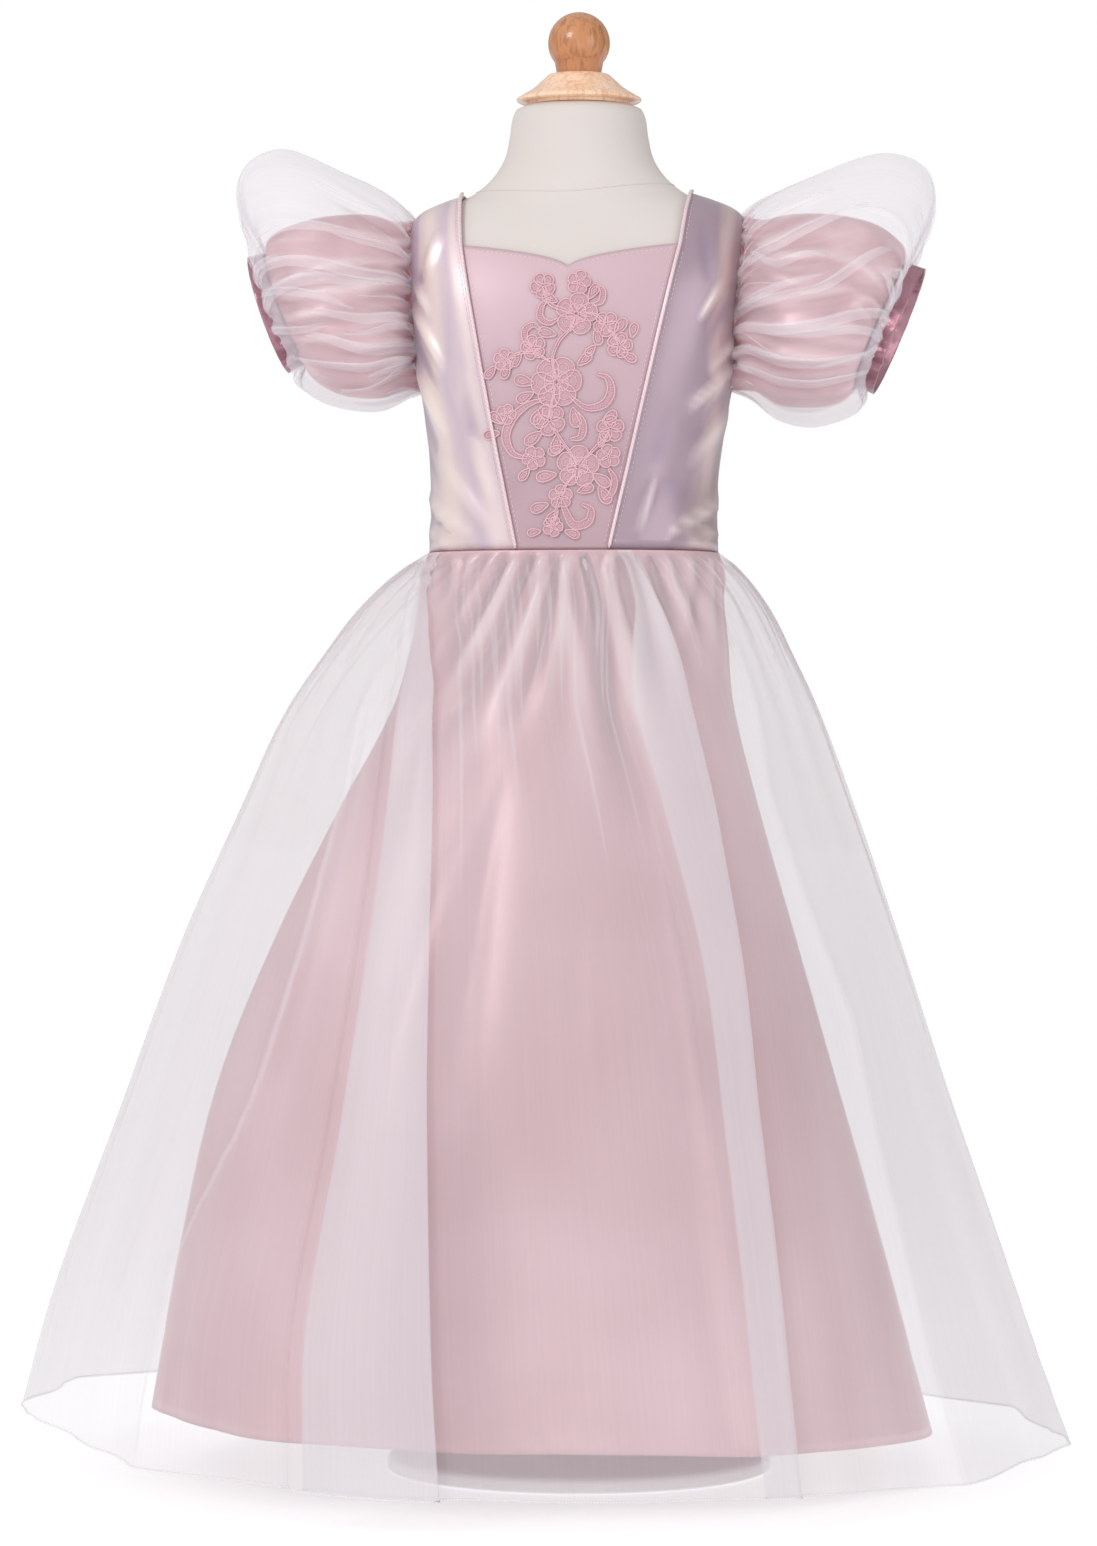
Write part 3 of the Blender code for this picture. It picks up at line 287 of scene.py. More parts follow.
def tube(line, radius, sides=8, closed=False, outward=None):
    """Points, faces and UV of a round tube along a line of points. An open tube narrows to closed ends."""
    line = np.asarray(line, float)
    count = len(line)
    if closed:
        tangent = np.roll(line, -1, axis=0) - np.roll(line, 1, axis=0)
    else:
        tangent = np.gradient(line, axis=0)
    tangent /= np.linalg.norm(tangent, axis=1, keepdims=True)
    outward = line * (1.0, 1.0, 0.0) + (0.0, 0.0, 1e-3) if outward is None else np.array(outward, float)
    side = np.cross(tangent, outward)
    side /= np.linalg.norm(side, axis=1, keepdims=True) + 1e-9
    top = np.cross(side, tangent)
    turn = np.arange(sides) * math.tau / sides
    radii = np.full(count, float(radius))
    if not closed:
        radii[[0, -1]] *= 0.35
    spokes = side[:, None] * np.cos(turn)[None, :, None] + top[:, None] * np.sin(turn)[None, :, None]
    points = (line[:, None] + spokes * radii[:, None, None]).reshape(-1, 3)
    faces = []
    for r in range(count if closed else count - 1):
        for c in range(sides):
            here, beside = r * sides + c, r * sides + (c + 1) % sides
            ahead, beside_ahead = (r + 1) % count * sides + c, (r + 1) % count * sides + (c + 1) % sides
            faces.append((here, ahead, beside_ahead, beside))
    if not closed:
        faces.append(tuple(range(sides)))
        faces.append(tuple(range(count * sides - 1, (count - 1) * sides - 1, -1)))
    uv = np.stack(np.meshgrid(turn * radius, distance_along(line), indexing="xy"), axis=-1) * MM
    return points, faces, uv


def add_tubes(name, tubes, finish):
    """Several tubes as one piece."""
    points, faces, uv, start = [], [], [], 0
    for tube_points, tube_faces, tube_uv in tubes:
        faces += [tuple(i + start for i in face) for face in tube_faces]
        points.append(tube_points)
        uv.append(tube_uv.reshape(-1, 2))
        start += len(tube_points)
    return add_piece(name, np.concatenate(points), faces, finish, np.concatenate(uv))


# The cover's seam at the base of the neck is a thin raised line that dips at the front.
seam_angles = np.arange(0, 360, 4.0)
NECK_SEAM, FRONT_DIP, SIDE_TILT, SEAM_RADIUS = 869.0, 5.0, 2.0, 0.45
seam_heights = NECK_SEAM - FRONT_DIP * np.maximum(np.sin(np.radians(seam_angles)), 0) ** 2
seam_heights += SIDE_TILT * np.cos(np.radians(seam_angles))
seam_line = on_form(seam_angles, seam_heights, 0.05)
neck_seam = add_tubes("neck_seam", [tube(seam_line, SEAM_RADIUS, 6, True)], cover)
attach(neck_seam, "root")

# The neck cap and the ball on it: turned beech, sanded and lacquered. A screw through the cap holds
# both on the form's neck, with a thin dark slot between the cap's rim and the cloth.

CAP_TOP, BALL_RADIUS, BALL_CENTRE, BALL_SEAT_RADIUS, REST_GAP = 947.2, 21.0, 968.3, 15.0, 0.3


def beech_finish(name, pale, deep, fleck):
    finish, tree, shader = new_finish(name, Roughness=0.36, Coat_Weight=0.5, Coat_Roughness=0.12)
    # The grain stands upright, in streaks 1 to 3 mm apart, with short darker flecks between them.
    place = add_node(tree, "ShaderNodeTexCoord")
    stretch = add_node(
        tree, "ShaderNodeMapping", {"Scale": (1.0, 1.0, 0.12)}, {"Vector": (place, "Object")}
    )
    streaks = add_node(
        tree, "ShaderNodeTexNoise", {"Scale": 320.0, "Detail": 4.0, "Distortion": 0.6},
        {"Vector": (stretch, "Vector")},
    )
    rings = add_node(
        tree, "ShaderNodeTexNoise", {"Scale": 70.0, "Detail": 2.0}, {"Vector": (stretch, "Vector")}
    )
    grain = add_node(
        tree, "ShaderNodeMix", {A: pale, B: deep}, {"Factor": (rings, "Fac")}, data_type="RGBA"
    )
    flecks = add_node(
        tree, "ShaderNodeMapRange", {"From Min": 0.45, "From Max": 0.75}, {"Value": (streaks, "Fac")}
    )
    colour = add_node(
        tree, "ShaderNodeMix", {B: fleck},
        {"Factor": (flecks, "Result"), A: (grain, MIXED)}, data_type="RGBA",
    )
    dress_shader(tree, shader, colour, (streaks, "Fac"), 0.08, 0.0002)
    return finish


def turned(name, profile, finish, segments=64):
    """A turned piece through rings of radius and height from the bottom up, closed at both ends."""
    radius, height = profile[0]
    bpy.ops.mesh.primitive_circle_add(
        vertices=segments, radius=radius * MM, fill_type="NGON", location=(0, 0, height * MM)
    )
    piece = bpy.context.object
    piece.name = piece.data.name = name
    bpy.ops.object.transform_apply(location=True, rotation=True, scale=True)
    bpy.ops.object.mode_set(mode="EDIT")
    for last_ring, ring in zip(profile[:-1], profile[1:]):
        lift = {"value": (0, 0, (ring[1] - last_ring[1]) * MM)}
        bpy.ops.mesh.extrude_region_move(TRANSFORM_OT_translate=lift)
        scale = ring[0] / last_ring[0]
        bpy.ops.transform.resize(value=(scale, scale, 1), center_override=(0, 0, ring[1] * MM))
    bpy.ops.mesh.select_all(action="SELECT")
    bpy.ops.mesh.normals_make_consistent(inside=False)
    bpy.ops.object.mode_set(mode="OBJECT")
    piece.data.materials.append(finish)
    piece.data.shade_smooth()
    piece.data.set_sharp_from_angle(angle=math.radians(40))
    piece.select_set(False)
    return piece


cap_rings = (
    (35.0, NECK_TOP + REST_GAP), (35.0, 927.8), (41.2, 928.2), (42.2, 928.8), (42.5, 929.7), (42.2, 930.4),
    (41.2, 931.2), (38, 933), (34, 935.4), (30.7, 937.6), (27.5, 940.3), (24.5, 943.2), (22, 945.5),
    (20.2, 946.8), (18.8, CAP_TOP),
)
cap = turned("neck_cap", cap_rings, beech_finish("lacquered_beech", "FFE0C4", "F1C29C", "DCA57E"))
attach(cap, "root")
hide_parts("form_neck_cap")
seat_drop = BALL_CENTRE - CAP_TOP - REST_GAP
ball_rings = [(BALL_SEAT_RADIUS, CAP_TOP + REST_GAP)]
for step in range(1, 25):
    turn = math.radians(mix(-44.0, 88.5, step / 24))
    drop = max(BALL_RADIUS * math.sin(turn), -seat_drop)
    ball_rings.append((BALL_RADIUS * math.cos(turn), BALL_CENTRE + drop))
ball_rings = [ring for i, ring in enumerate(ball_rings) if i == 0 or ring[1] > ball_rings[i - 1][1] + 0.05]
ball = turned("ball", ball_rings, beech_finish("lacquered_beech_ball", "D49764", "B06E42", "92562F"))
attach(ball, "root")
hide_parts("form_ball")

# The stand: a round steel base and a steel tube, powder coated white. The tube is screwed to the
# base and goes up into the torso. The skirt hides both.

coat, tree, shader = new_finish("white_powder_coat", Roughness=0.42, IOR=1.5)
# A powder coat has a fine orange peel of 1 to 2 mm.
place = add_node(tree, "ShaderNodeTexCoord")
peel = add_node(tree, "ShaderNodeTexNoise", {"Scale": 600.0, "Detail": 2.0}, {"Vector": (place, "Object")})
wear = add_node(tree, "ShaderNodeTexNoise", {"Scale": 9.0, "Detail": 2.0}, {"Vector": (place, "Object")})
colour = add_node(
    tree, "ShaderNodeMix", {A: "F4F3F1", B: "FAF9F8"}, {"Factor": (wear, "Fac")}, data_type="RGBA"
)
dress_shader(tree, shader, colour, (peel, "Fac"), 0.1, 0.0003)
base_rings = (
    (126, 0), (128.6, 0.4), (130, 1.6), (130, 7), (129.5, 8.6), (128.3, 10), (126.4, 11),
    (124, 11.6), (120, 12), (30, 12),
)
base = turned("base_plate", base_rings, coat, 96)
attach(base, "root")
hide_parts("stand_base")
pole_rings = ((9.6, 12.3), (11.0, 13.2), (11.0, 120.0), (11.0, 300.0), (11.0, 495.6), (9.8, 496.7))
pole = turned("pole", pole_rings, coat, 40)
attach(pole, "root")
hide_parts("stand_pole")

# The bodice's side fronts and backs: a pale satin with a thin metallic film, which turns from lilac to
# champagne. Each panel is lined, sewn at the princess, side and shoulder seams, and has a neat edge.

UNDERARM, NECK_CORNER, SHOULDER_RIDGE, NECK_DIP = 731.0, 826.0, 863.0, 809.0
CLEARANCE, SHOULDER_CLEARANCE, BODICE_CLOTH, SEAM_GAP = 0.9, 1.4, 1.2, 0.4
ARMHOLE_CENTRE, ARMHOLE_HALF_HEIGHT, ARMHOLE_HALF_DEPTH = 790.0, 59.0, 30.0
BACK_TOP_ROW, BACK_NECK_HEIGHT, BACK_NECK_DIP, BACK_WAIST_X, BACK_STRAP_X = 809.0, 812.0, 2.0, 60.0, 66.0
CLOSURE_OVERLAP, CLOSURE_FLAT_X, CLOSURE_FADE_X = 11.0, 13.0, 34.0
SEAM_WAIST_X, NECK_CORNER_X, STRAP_TOP_X = 30.5, 73.0, 77.0
SEAM_TURN = math.degrees(SEAM_GAP / 2 / 100.0)
ROW_STEPS, SIDE_COLUMNS = 5, 44
# The height that the panel's own UV spans, and the rise of a pull line from its darkest painted shade to its
# palest painted highlight
PANEL_HEIGHT, PULL_DEPTH = 240, 5


def film_satin(name, stripes):
    """The metallic satin. Each stripe is a place across the panel, from 0 to 1, and its colour there."""
    finish, tree, shader = new_finish(
        name, Metallic=0.42, Roughness=0.34, Sheen_Weight=0.2, Sheen_Roughness=0.4, Coat_Weight=0.12
    )
    # The film's colour runs in soft upright bands that waver, partly its own shift from lilac to champagne
    # and partly painted highlight streaks; the fine ribs are the satin's long threads, 0.3 mm apart, drawn at
    # 1 mm.
    place = add_node(tree, "ShaderNodeUVMap", uv_map="panel")
    waver = add_node(tree, "ShaderNodeTexNoise", {"Scale": 3.2, "Detail": 3.0}, {"Vector": (place, "UV")})
    part = add_node(tree, "ShaderNodeSeparateXYZ", None, {"Vector": (place, "UV")})
    shift = add_node(
        tree, "ShaderNodeMapRange", {"To Min": -0.14, "To Max": 0.14}, {"Value": (waver, "Fac")}
    )
    across = add_node(
        tree, "ShaderNodeMath", None, {0: (part, "X"), 1: (shift, "Result")}, operation="ADD"
    )
    bands = add_node(tree, "ShaderNodeValToRGB", None, {"Fac": (across, "Value")})
    bands.color_ramp.interpolation = "EASE"
    points = bands.color_ramp.elements
    for i, (position, code) in enumerate(stripes):
        point = points[i] if i < 2 else points.new(position)
        point.position = position
        point.color = linear(code)
    # A pull line gets a painted highlight along its crest and painted dark lilac shade in the hollow beside
    # it.
    fold = add_node(tree, "ShaderNodeAttribute", attribute_name="fold")
    crest, hollow = [
        add_node(
            tree, "ShaderNodeMapRange", {"From Min": start, "From Max": end, "To Max": 0.8},
            {"Value": (fold, "Fac")},
        )
        for start, end in ((0.58, 1.1), (0.49, 0.34))
    ]
    lit = add_node(
        tree, "ShaderNodeMix", {B: "F4E6DF"},
        {"Factor": (crest, "Result"), A: (bands, "Color")}, data_type="RGBA",
    )
    shaded = add_node(
        tree, "ShaderNodeMix", {B: "9E8DA2"},
        {"Factor": (hollow, "Result"), A: (lit, MIXED)}, data_type="RGBA",
    )
    body = add_node(tree, "ShaderNodeTexCoord")
    stretch = add_node(tree, "ShaderNodeMapping", {"Scale": (1.0, 1.0, 0.03)}, {"Vector": (body, "Object")})
    ribs = add_node(
        tree, "ShaderNodeTexNoise", {"Scale": 900.0, "Detail": 1.0}, {"Vector": (stretch, "Vector")}
    )
    dress_shader(tree, shader, shaded, (ribs, "Fac"), 0.1, 0.0003)
    return finish


film_left = film_satin("metallic_satin_left", (
    (0.0, "B3A0B0"), (1.0, "D6C3CA"), (0.18, "C0ADBB"), (0.36, "DDCACB"), (0.54, "E6D3CF"), (0.74, "CDBAC5"),
    (0.88, "E2CFD0"),
))
# The right side front's copy is darker all over: painted shade on the side away from the key light, with a
# painted champagne highlight streak two thirds across.
film_right_painted_shade = film_satin("metallic_satin_right_painted_shade", (
    (0.0, "AC97A3"), (1.0, "AC959D"), (0.25, "A893A0"), (0.46, "A893A0"), (0.66, "CDB6B6"), (0.84, "B39CA3"),
))
film_back = film_satin("metallic_satin_back", (
    (0.0, "CBBCCB"), (1.0, "C9BAC9"), (0.3, "E6D4D5"), (0.55, "C8B9CB"), (0.78, "E2D0D2"),
))


def cloth_offset(height):
    """How far the bodice's inside stands off the form."""
    return mix(CLEARANCE, SHOULDER_CLEARANCE, smooth_step(height, NECK_CORNER, SHOULDER_TIP))


def seam_x(height):
    """Distance from the centre line of the princess seam, and above the neckline of the strap's edge."""
    below = mix(SEAM_WAIST_X, NECK_CORNER_X, (height - WAIST) / (NECK_CORNER - WAIST))
    above = mix(NECK_CORNER_X, STRAP_TOP_X, (height - NECK_CORNER) / (SHOULDER_RIDGE - NECK_CORNER))
    return np.where(height <= NECK_CORNER, below, above)


def armhole_angle(height, front=True, inset=0.0):
    """The angle of the armhole's edge at a height, on the picture's right."""
    share = np.maximum(1 - ((height - ARMHOLE_CENTRE) / (ARMHOLE_HALF_HEIGHT - inset)) ** 2, 0.0)
    y = (ARMHOLE_HALF_DEPTH - inset) * np.sqrt(share)
    width, n = form_width(height), form_squareness(height)
    depth = np.where(front, form_front(height), form_back(height))
    x = width * (1 - np.minimum(y / depth, 1.0) ** n) ** (1 / n)
    return np.degrees(np.arctan2(np.where(front, y, -y), x))


def panel_rows():
    """Inner and outer height of each row of a side panel; beside the armhole the outer ends follow it."""
    rows = [(622.0, 622.0), (656.0, 652.0), (690.0, 682.0), (717.0, 709.0)]
    inner = (742.0, 748.0, 758.0, 772.0, 789.0, 809.0, 826.0, 841.0, 852.0, 860.5, 863.0)
    for i, height in enumerate(inner):
        along_armhole = math.cos(math.pi * i / (len(inner) - 1))
        rows.append((height, ARMHOLE_CENTRE - ARMHOLE_HALF_HEIGHT * along_armhole))
    rows = np.array(rows)
    fine = np.linspace(0, len(rows) - 1, (len(rows) - 1) * ROW_STEPS + 1)
    return np.stack([np.interp(fine, np.arange(len(rows)), rows[:, i]) for i in (0, 1)], axis=1)


def mirrored(angle, side):
    """The angle itself on the picture's right, where the side is 1, and its mirror on the left."""
    return angle if side > 0 else 180 - angle


def bodice_panel(name, angle, height, lift, finish, side, node, faces=None):
    """A bodice panel through points of angle and height on the form, lined and with a finished edge."""
    rows, columns = angle.shape
    points = on_form(mirrored(angle, side), height, cloth_offset(height) + BODICE_CLOTH / 2 + lift)
    faces = faces or grid_quads(rows, columns)
    if side < 0:
        faces = [tuple(reversed(face)) for face in faces]
    # How high each point stands in the pull lines, which sets the panel's painted highlight and shade
    fold = 0.5 + np.broadcast_to(lift, angle.shape) / PULL_DEPTH
    piece = add_piece(name, points, faces, finish, cloth_uv(points), fold=fold)
    across = np.broadcast_to(np.linspace(0, 1, columns), angle.shape)
    picture_across = across if side < 0 else 1 - across
    write_uv(piece.data, "panel", np.stack([picture_across, (height - WAIST) / PANEL_HEIGHT], axis=-1))
    finish_with(piece, "SOLIDIFY", thickness=BODICE_CLOTH * MM, offset=0.0)
    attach(piece, "root")
    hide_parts(node)
    return piece


# Pull lines of the side fronts: from the armhole and the waist, in x from the centre line and height
PULL_LINES = {
    1: (
        (108, 752, 76, 712, 3.2, 2.8), (107, 742, 80, 694, 3.6, -0.7), (104, 726, 72, 668, 4.6, 2.2),
        (98, 660, 60, 627, 3.4, 2.6), (100, 648, 66, 632, 3, -0.7), (102, 806, 84, 772, 3.2, 2.4),
        (104, 792, 90, 758, 2.6, -0.7), (92, 700, 58, 650, 5, -0.6), (86, 845, 92, 800, 4, -0.7),
        (98, 640, 74, 625, 2.4, 2.2), (66, 720, 50, 640, 5, -0.5), (109, 770, 92, 742, 2.4, 2.2),
        (108, 700, 90, 652, 3.6, 1.8), (60, 680, 44, 628, 4, 1.6),
    ),
    -1: (
        (107, 790, 78, 740, 3.2, 3.2), (108, 774, 84, 728, 3.4, -0.7), (106, 752, 74, 696, 3.6, 3),
        (105, 738, 78, 674, 3.8, -0.7), (98, 664, 54, 629, 3.6, 2.6), (84, 692, 46, 634, 4, 2),
        (100, 655, 70, 632, 2.6, -0.7), (96, 640, 70, 624, 2.4, 2.2), (88, 838, 98, 806, 3.6, 2.4),
        (96, 826, 104, 790, 2.8, -0.7), (66, 730, 46, 660, 5, -0.6), (106, 804, 92, 780, 2.4, 2.4),
        (104, 716, 82, 664, 3.2, -0.7), (60, 700, 42, 650, 4.4, 1.6),
    ),
}
heights = panel_rows()
inner, outer = heights[:, 0], heights[:, 1]
start = np.maximum(angle_at(seam_x(inner), inner) - SEAM_TURN * (inner < NECK_CORNER), SEAM_TURN)
end = np.maximum(np.where(outer > UNDERARM, armhole_angle(outer), 0.0), SEAM_TURN)
share = np.linspace(0, 1, SIDE_COLUMNS)
front_angle = mix(end[:, None], start[:, None], share)
front_height = mix(outer[:, None], inner[:, None], share)
for word, side, finish in (("right", 1, film_right_painted_shade), ("left", -1, film_left)):
    flat_x = abs(on_form(front_angle, front_height)[..., 0])
    pulls = creased(flat_x, front_height, PULL_LINES[side])
    piece = bodice_panel(
        f"side_front_{word}", front_angle, front_height, pulls, finish, side, f"bodice_side_front_{word}"
    )

# The backs are the same satin. The right one laps over the left at the centre, where they close.
STRAP_COLUMNS, CLOSURE_COLUMNS = 30, 26
closing = inner <= BACK_TOP_ROW
rise = np.clip((inner - BACK_TOP_ROW) / (SHOULDER_RIDGE - BACK_TOP_ROW), 0, 1)
low = (inner - WAIST) / (BACK_TOP_ROW - WAIST)
strap_height, strap_x = [
    np.where(closing, mix(waist, neck, low), mix(neck, shoulder, rise))
    for waist, neck, shoulder in (
        (WAIST, BACK_NECK_HEIGHT, SHOULDER_RIDGE), (BACK_WAIST_X, BACK_STRAP_X, STRAP_TOP_X),
    )
]
start = np.minimum(angle_at(strap_x, strap_height, front=False), -SEAM_TURN)
end = np.minimum(np.where(outer > UNDERARM, armhole_angle(outer, front=False), 0.0), -SEAM_TURN)
share = np.linspace(0, 1, STRAP_COLUMNS)
strap_angle = mix(start[:, None], end[:, None], share)
strap_heights = mix(strap_height[:, None], outer[:, None], share)
share = np.linspace(0, 1, CLOSURE_COLUMNS)[:-1]
closure_x = mix(-CLOSURE_OVERLAP, strap_x[:, None], share)
dip = BACK_NECK_DIP * smooth_step(inner, 770.0, BACK_TOP_ROW)[:, None] * (1 - share)
closure_height = np.maximum(strap_height[:, None] - dip, WAIST)
closure_angle = angle_at(closure_x, closure_height, front=False)
closure_angle = np.where(closure_angle > 180, closure_angle - 360, closure_angle)
back_angle = np.hstack([closure_angle, strap_angle])
back_height = np.hstack([closure_height, strap_heights])
top_row = int(closing.sum()) - 1
columns = back_angle.shape[1]
back_faces = []
for quad in grid_quads(*back_angle.shape):
    row, column = divmod(quad[0], columns)
    if row < top_row or column >= CLOSURE_COLUMNS - 1:
        back_faces.append(quad)
BACK_PULLS = (
    (-100, 752, -66, 716, 5, 0.6), (-98, 735, -70, 690, 6, -0.5), (-20, 660, -70, 632, 6, 0.5),
    (-14, 790, -60, 770, 7, 0.4), (-30, 720, -80, 700, 8, 0.4), (-16, 640, -50, 628, 4, 0.4),
)
for word, side in (("right", 1), ("left", -1)):
    flat_x = -abs(on_form(back_angle, back_height)[..., 0])
    lift = creased(flat_x, back_height, BACK_PULLS)
    if side > 0:
        lap = 1 - smooth_step(closure_x, CLOSURE_FLAT_X, CLOSURE_FADE_X)
        lift[:, :CLOSURE_COLUMNS - 1] += (BODICE_CLOTH + SEAM_GAP) * lap
    piece = bodice_panel(
        f"back_{word}", back_angle, back_height, lift, film_back, side, f"bodice_back_{word}", back_faces
    )
    bpy.context.view_layer.objects.active = piece
    loose = bmesh.new()
    loose.from_mesh(piece.data)
    bmesh.ops.delete(loose, geom=[v for v in loose.verts if not v.link_faces], context="VERTS")
    loose.to_mesh(piece.data)
    loose.free()

# The centre front: mauve satin under one layer of sheer overlay, sewn between the two princess seams.
# Its neckline dips to the middle in two curves and is turned under.

FRONT_COLUMNS, FRONT_ROWS, DIP_POWER = 72, 72, 0.5
# Soft slack in the overlay, as from the bust to the waist: x and height at both ends
OVERLAY_FOLDS = (
    (-58, 800, -20, 730, 7, 0.32), (-50, 770, -26, 700, 5, -0.3), (56, 800, 34, 740, 7, 0.3),
    (40, 760, 30, 690, 6, -0.28), (-30, 680, -14, 630, 5, 0.28), (28, 670, 12, 628, 4, 0.3),
    (-22, 650, 6, 632, 3.5, -0.28), (10, 640, 30, 628, 3, 0.25), (-44, 745, -30, 660, 4, 0.25),
)

overlay, tree, shader = new_finish(
    "mauve_satin_under_sheer", Roughness=0.45, Sheen_Weight=0.45, Sheen_Roughness=0.35, Metallic=0.12
)
# The sheer layer greys the satin below and gives it a fine net of 0.5 mm holes, drawn at 1 mm.
place = add_node(tree, "ShaderNodeTexCoord")
cloud = add_node(tree, "ShaderNodeTexNoise", {"Scale": 22.0, "Detail": 3.0}, {"Vector": (place, "Object")})
tone = add_node(
    tree, "ShaderNodeMix", {A: "AD9099", B: "C0A4AC"}, {"Factor": (cloud, "Fac")}, data_type="RGBA"
)
height = add_node(tree, "ShaderNodeSeparateXYZ", None, {"Vector": (place, "Object")})
upper = add_node(
    tree, "ShaderNodeMapRange", {"From Min": 0.66, "From Max": 0.81}, {"Value": (height, "Z")}
)
colour = add_node(
    tree, "ShaderNodeMix", {B: "CBAFB7"}, {"Factor": (upper, "Result"), A: (tone, MIXED)}, data_type="RGBA"
)
net = add_node(tree, "ShaderNodeTexVoronoi", {"Scale": 1000.0}, {"Vector": (place, "Object")})
dress_shader(tree, shader, colour, (net, "Distance"), 0.15, 0.0002)

across = np.linspace(1, -1, FRONT_COLUMNS)[None, :]
share = np.linspace(0, 1, FRONT_ROWS)[:, None]
neckline = mix(NECK_DIP, NECK_CORNER, abs(across) ** DIP_POWER)
height = mix(WAIST, neckline, share)
flat_x = across * (seam_x(height) - SEAM_GAP / 2)
lift = creased(flat_x, height, OVERLAY_FOLDS)
points = on_form(angle_at(flat_x, height), height, cloth_offset(height) + BODICE_CLOTH / 2 + lift)
centre_front = add_piece(
    "centre_front", points, grid_quads(FRONT_ROWS, FRONT_COLUMNS), overlay, cloth_uv(points)
)
finish_with(centre_front, "SOLIDIFY", thickness=BODICE_CLOTH * MM, offset=0.0)
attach(centre_front, "root")
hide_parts("bodice_centre_front")

# The corded piping: a bias strip of the pale satin folded over a 2 mm cord. It is caught in each
# princess seam and runs on up the inner edge of the strap.

PIPING_RADIUS, PIPING_GAP = 1.3, 0.35
piping_cloth, tree, shader = new_finish(
    "bias_satin_piping", Roughness=0.32, Metallic=0.3, Sheen_Weight=0.25, Coat_Weight=0.1
)
# The bias strip shows slanting ribs about 2 mm apart where it is pulled round the cord.
place = add_node(tree, "ShaderNodeUVMap", uv_map="cloth")
twist = add_node(tree, "ShaderNodeMapping", {"Rotation": (0, 0, 0.7)}, {"Vector": (place, "UV")})
ribs = add_node(
    tree, "ShaderNodeTexWave", {"Scale": 150.0, "Distortion": 2.0, "Detail": 2.0},
    {"Vector": (twist, "Vector")},
)
colour = add_node(
    tree, "ShaderNodeMix", {A: "E0C3CA", B: "ECD6DA"}, {"Factor": (ribs, "Fac")}, data_type="RGBA"
)
dress_shader(tree, shader, colour, (ribs, "Fac"), 0.2, 0.0003)
piping_height = np.concatenate([np.linspace(622.5, 850, 90), np.linspace(852, 862.6, 10)])
for word, side in (("right", 1), ("left", -1)):
    angle = angle_at(seam_x(piping_height), piping_height)
    lift = cloth_offset(piping_height) + BODICE_CLOTH + PIPING_RADIUS + PIPING_GAP
    line = on_form(mirrored(angle, side), piping_height, lift)
    piping = add_tubes(f"piping_cord_{word}", [tube(line, PIPING_RADIUS, 10)], piping_cloth)
    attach(piping, "root")
    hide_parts(f"piping_{word}")

# Thread: the rows of machine stitches beside the piping, under the neckline and along the satin's hem,
# in pink polyester that is a shade lighter than the cloth. A stitch is 2.4 mm long.

thread, tree, shader = new_finish("polyester_thread", Roughness=0.5, Sheen_Weight=0.3)
# Two plies twist round each other, which shows as a fine change of tone along each stitch.
place = add_node(tree, "ShaderNodeTexCoord")
plies = add_node(tree, "ShaderNodeTexNoise", {"Scale": 500.0}, {"Vector": (place, "Object")})
colour = add_node(
    tree, "ShaderNodeMix", {A: "E3C6CC", B: "F1DDE1"}, {"Factor": (plies, "Fac")}, data_type="RGBA"
)
tree.links.new(colour.outputs[MIXED], shader.inputs["Base Color"])
STITCH, STITCH_GAP, THREAD_RADIUS, STITCH_ASIDE = 2.4, 0.9, 0.24, 3.4


def stitch_row(name, line):
    """A row of stitches along a line of points that lies on the cloth."""
    line = np.asarray(line, float)
    step = distance_along(line)
    stitches = []
    for begin in np.arange(STITCH_GAP, step[-1] - STITCH, STITCH + STITCH_GAP):
        spots = np.linspace(begin, begin + STITCH, 4)
        points = np.stack([np.interp(spots, step, line[:, i]) for i in range(3)], axis=1)
        stitches.append(tube(points, THREAD_RADIUS, 5))
    row = add_tubes(name, stitches, thread)
    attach(row, "root")


top = BODICE_CLOTH + THREAD_RADIUS * 0.6
seam_height = np.linspace(626, 820, 80)
for word, side in (("right", 1), ("left", -1)):
    for edge, aside in (("inner", -STITCH_ASIDE), ("outer", STITCH_ASIDE)):
        angle = angle_at(seam_x(seam_height) + aside, seam_height)
        line = on_form(mirrored(angle, side), seam_height, cloth_offset(seam_height) + top)
        stitch_row(f"seam_stitches_{edge}_{word}", line)
    strap_line = np.linspace(828, 858, 24)
    angle = angle_at(seam_x(strap_line) + STITCH_ASIDE, strap_line)
    line = on_form(mirrored(angle, side), strap_line, cloth_offset(strap_line) + top)
    stitch_row(f"strap_stitches_{word}", line)
neck_across = np.linspace(0.96, -0.96, 90)
neck_height = mix(NECK_DIP, NECK_CORNER, abs(neck_across) ** DIP_POWER) - 3.0
neck_x = neck_across * seam_x(neck_height)
line = on_form(angle_at(neck_x, neck_height), neck_height, cloth_offset(neck_height) + top)
stitch_row("neckline_stitches", line)

# The lace: a corded motif in pink rayon, with blossoms, leaves and scrolls outlined in a raised cord
# and filled with satin stitch. It is cut out of its ground and sewn on by hand.

LACE_GAP, CORD_RADIUS, LACE_LIFT = 0.55, 0.55, 0.55
# x, height, radius and petals of each blossom
BLOSSOMS = (
    (-16, 797, 7.5, 5), (8, 799, 7, 5), (7, 778, 12.5, 5), (27, 771, 7.5, 5),
    (36, 757, 7.5, 5), (-21, 756, 7.5, 5), (-40, 748, 6.5, 5), (-5, 733, 15, 6),
    (-9, 708, 9.5, 5), (-38, 712, 6, 5), (31, 702, 8, 5), (10, 677, 12.5, 5),
    (30, 684, 7, 5), (-19, 683, 7, 5), (-1, 657, 7, 5), (-6, 637, 6, 5),
)
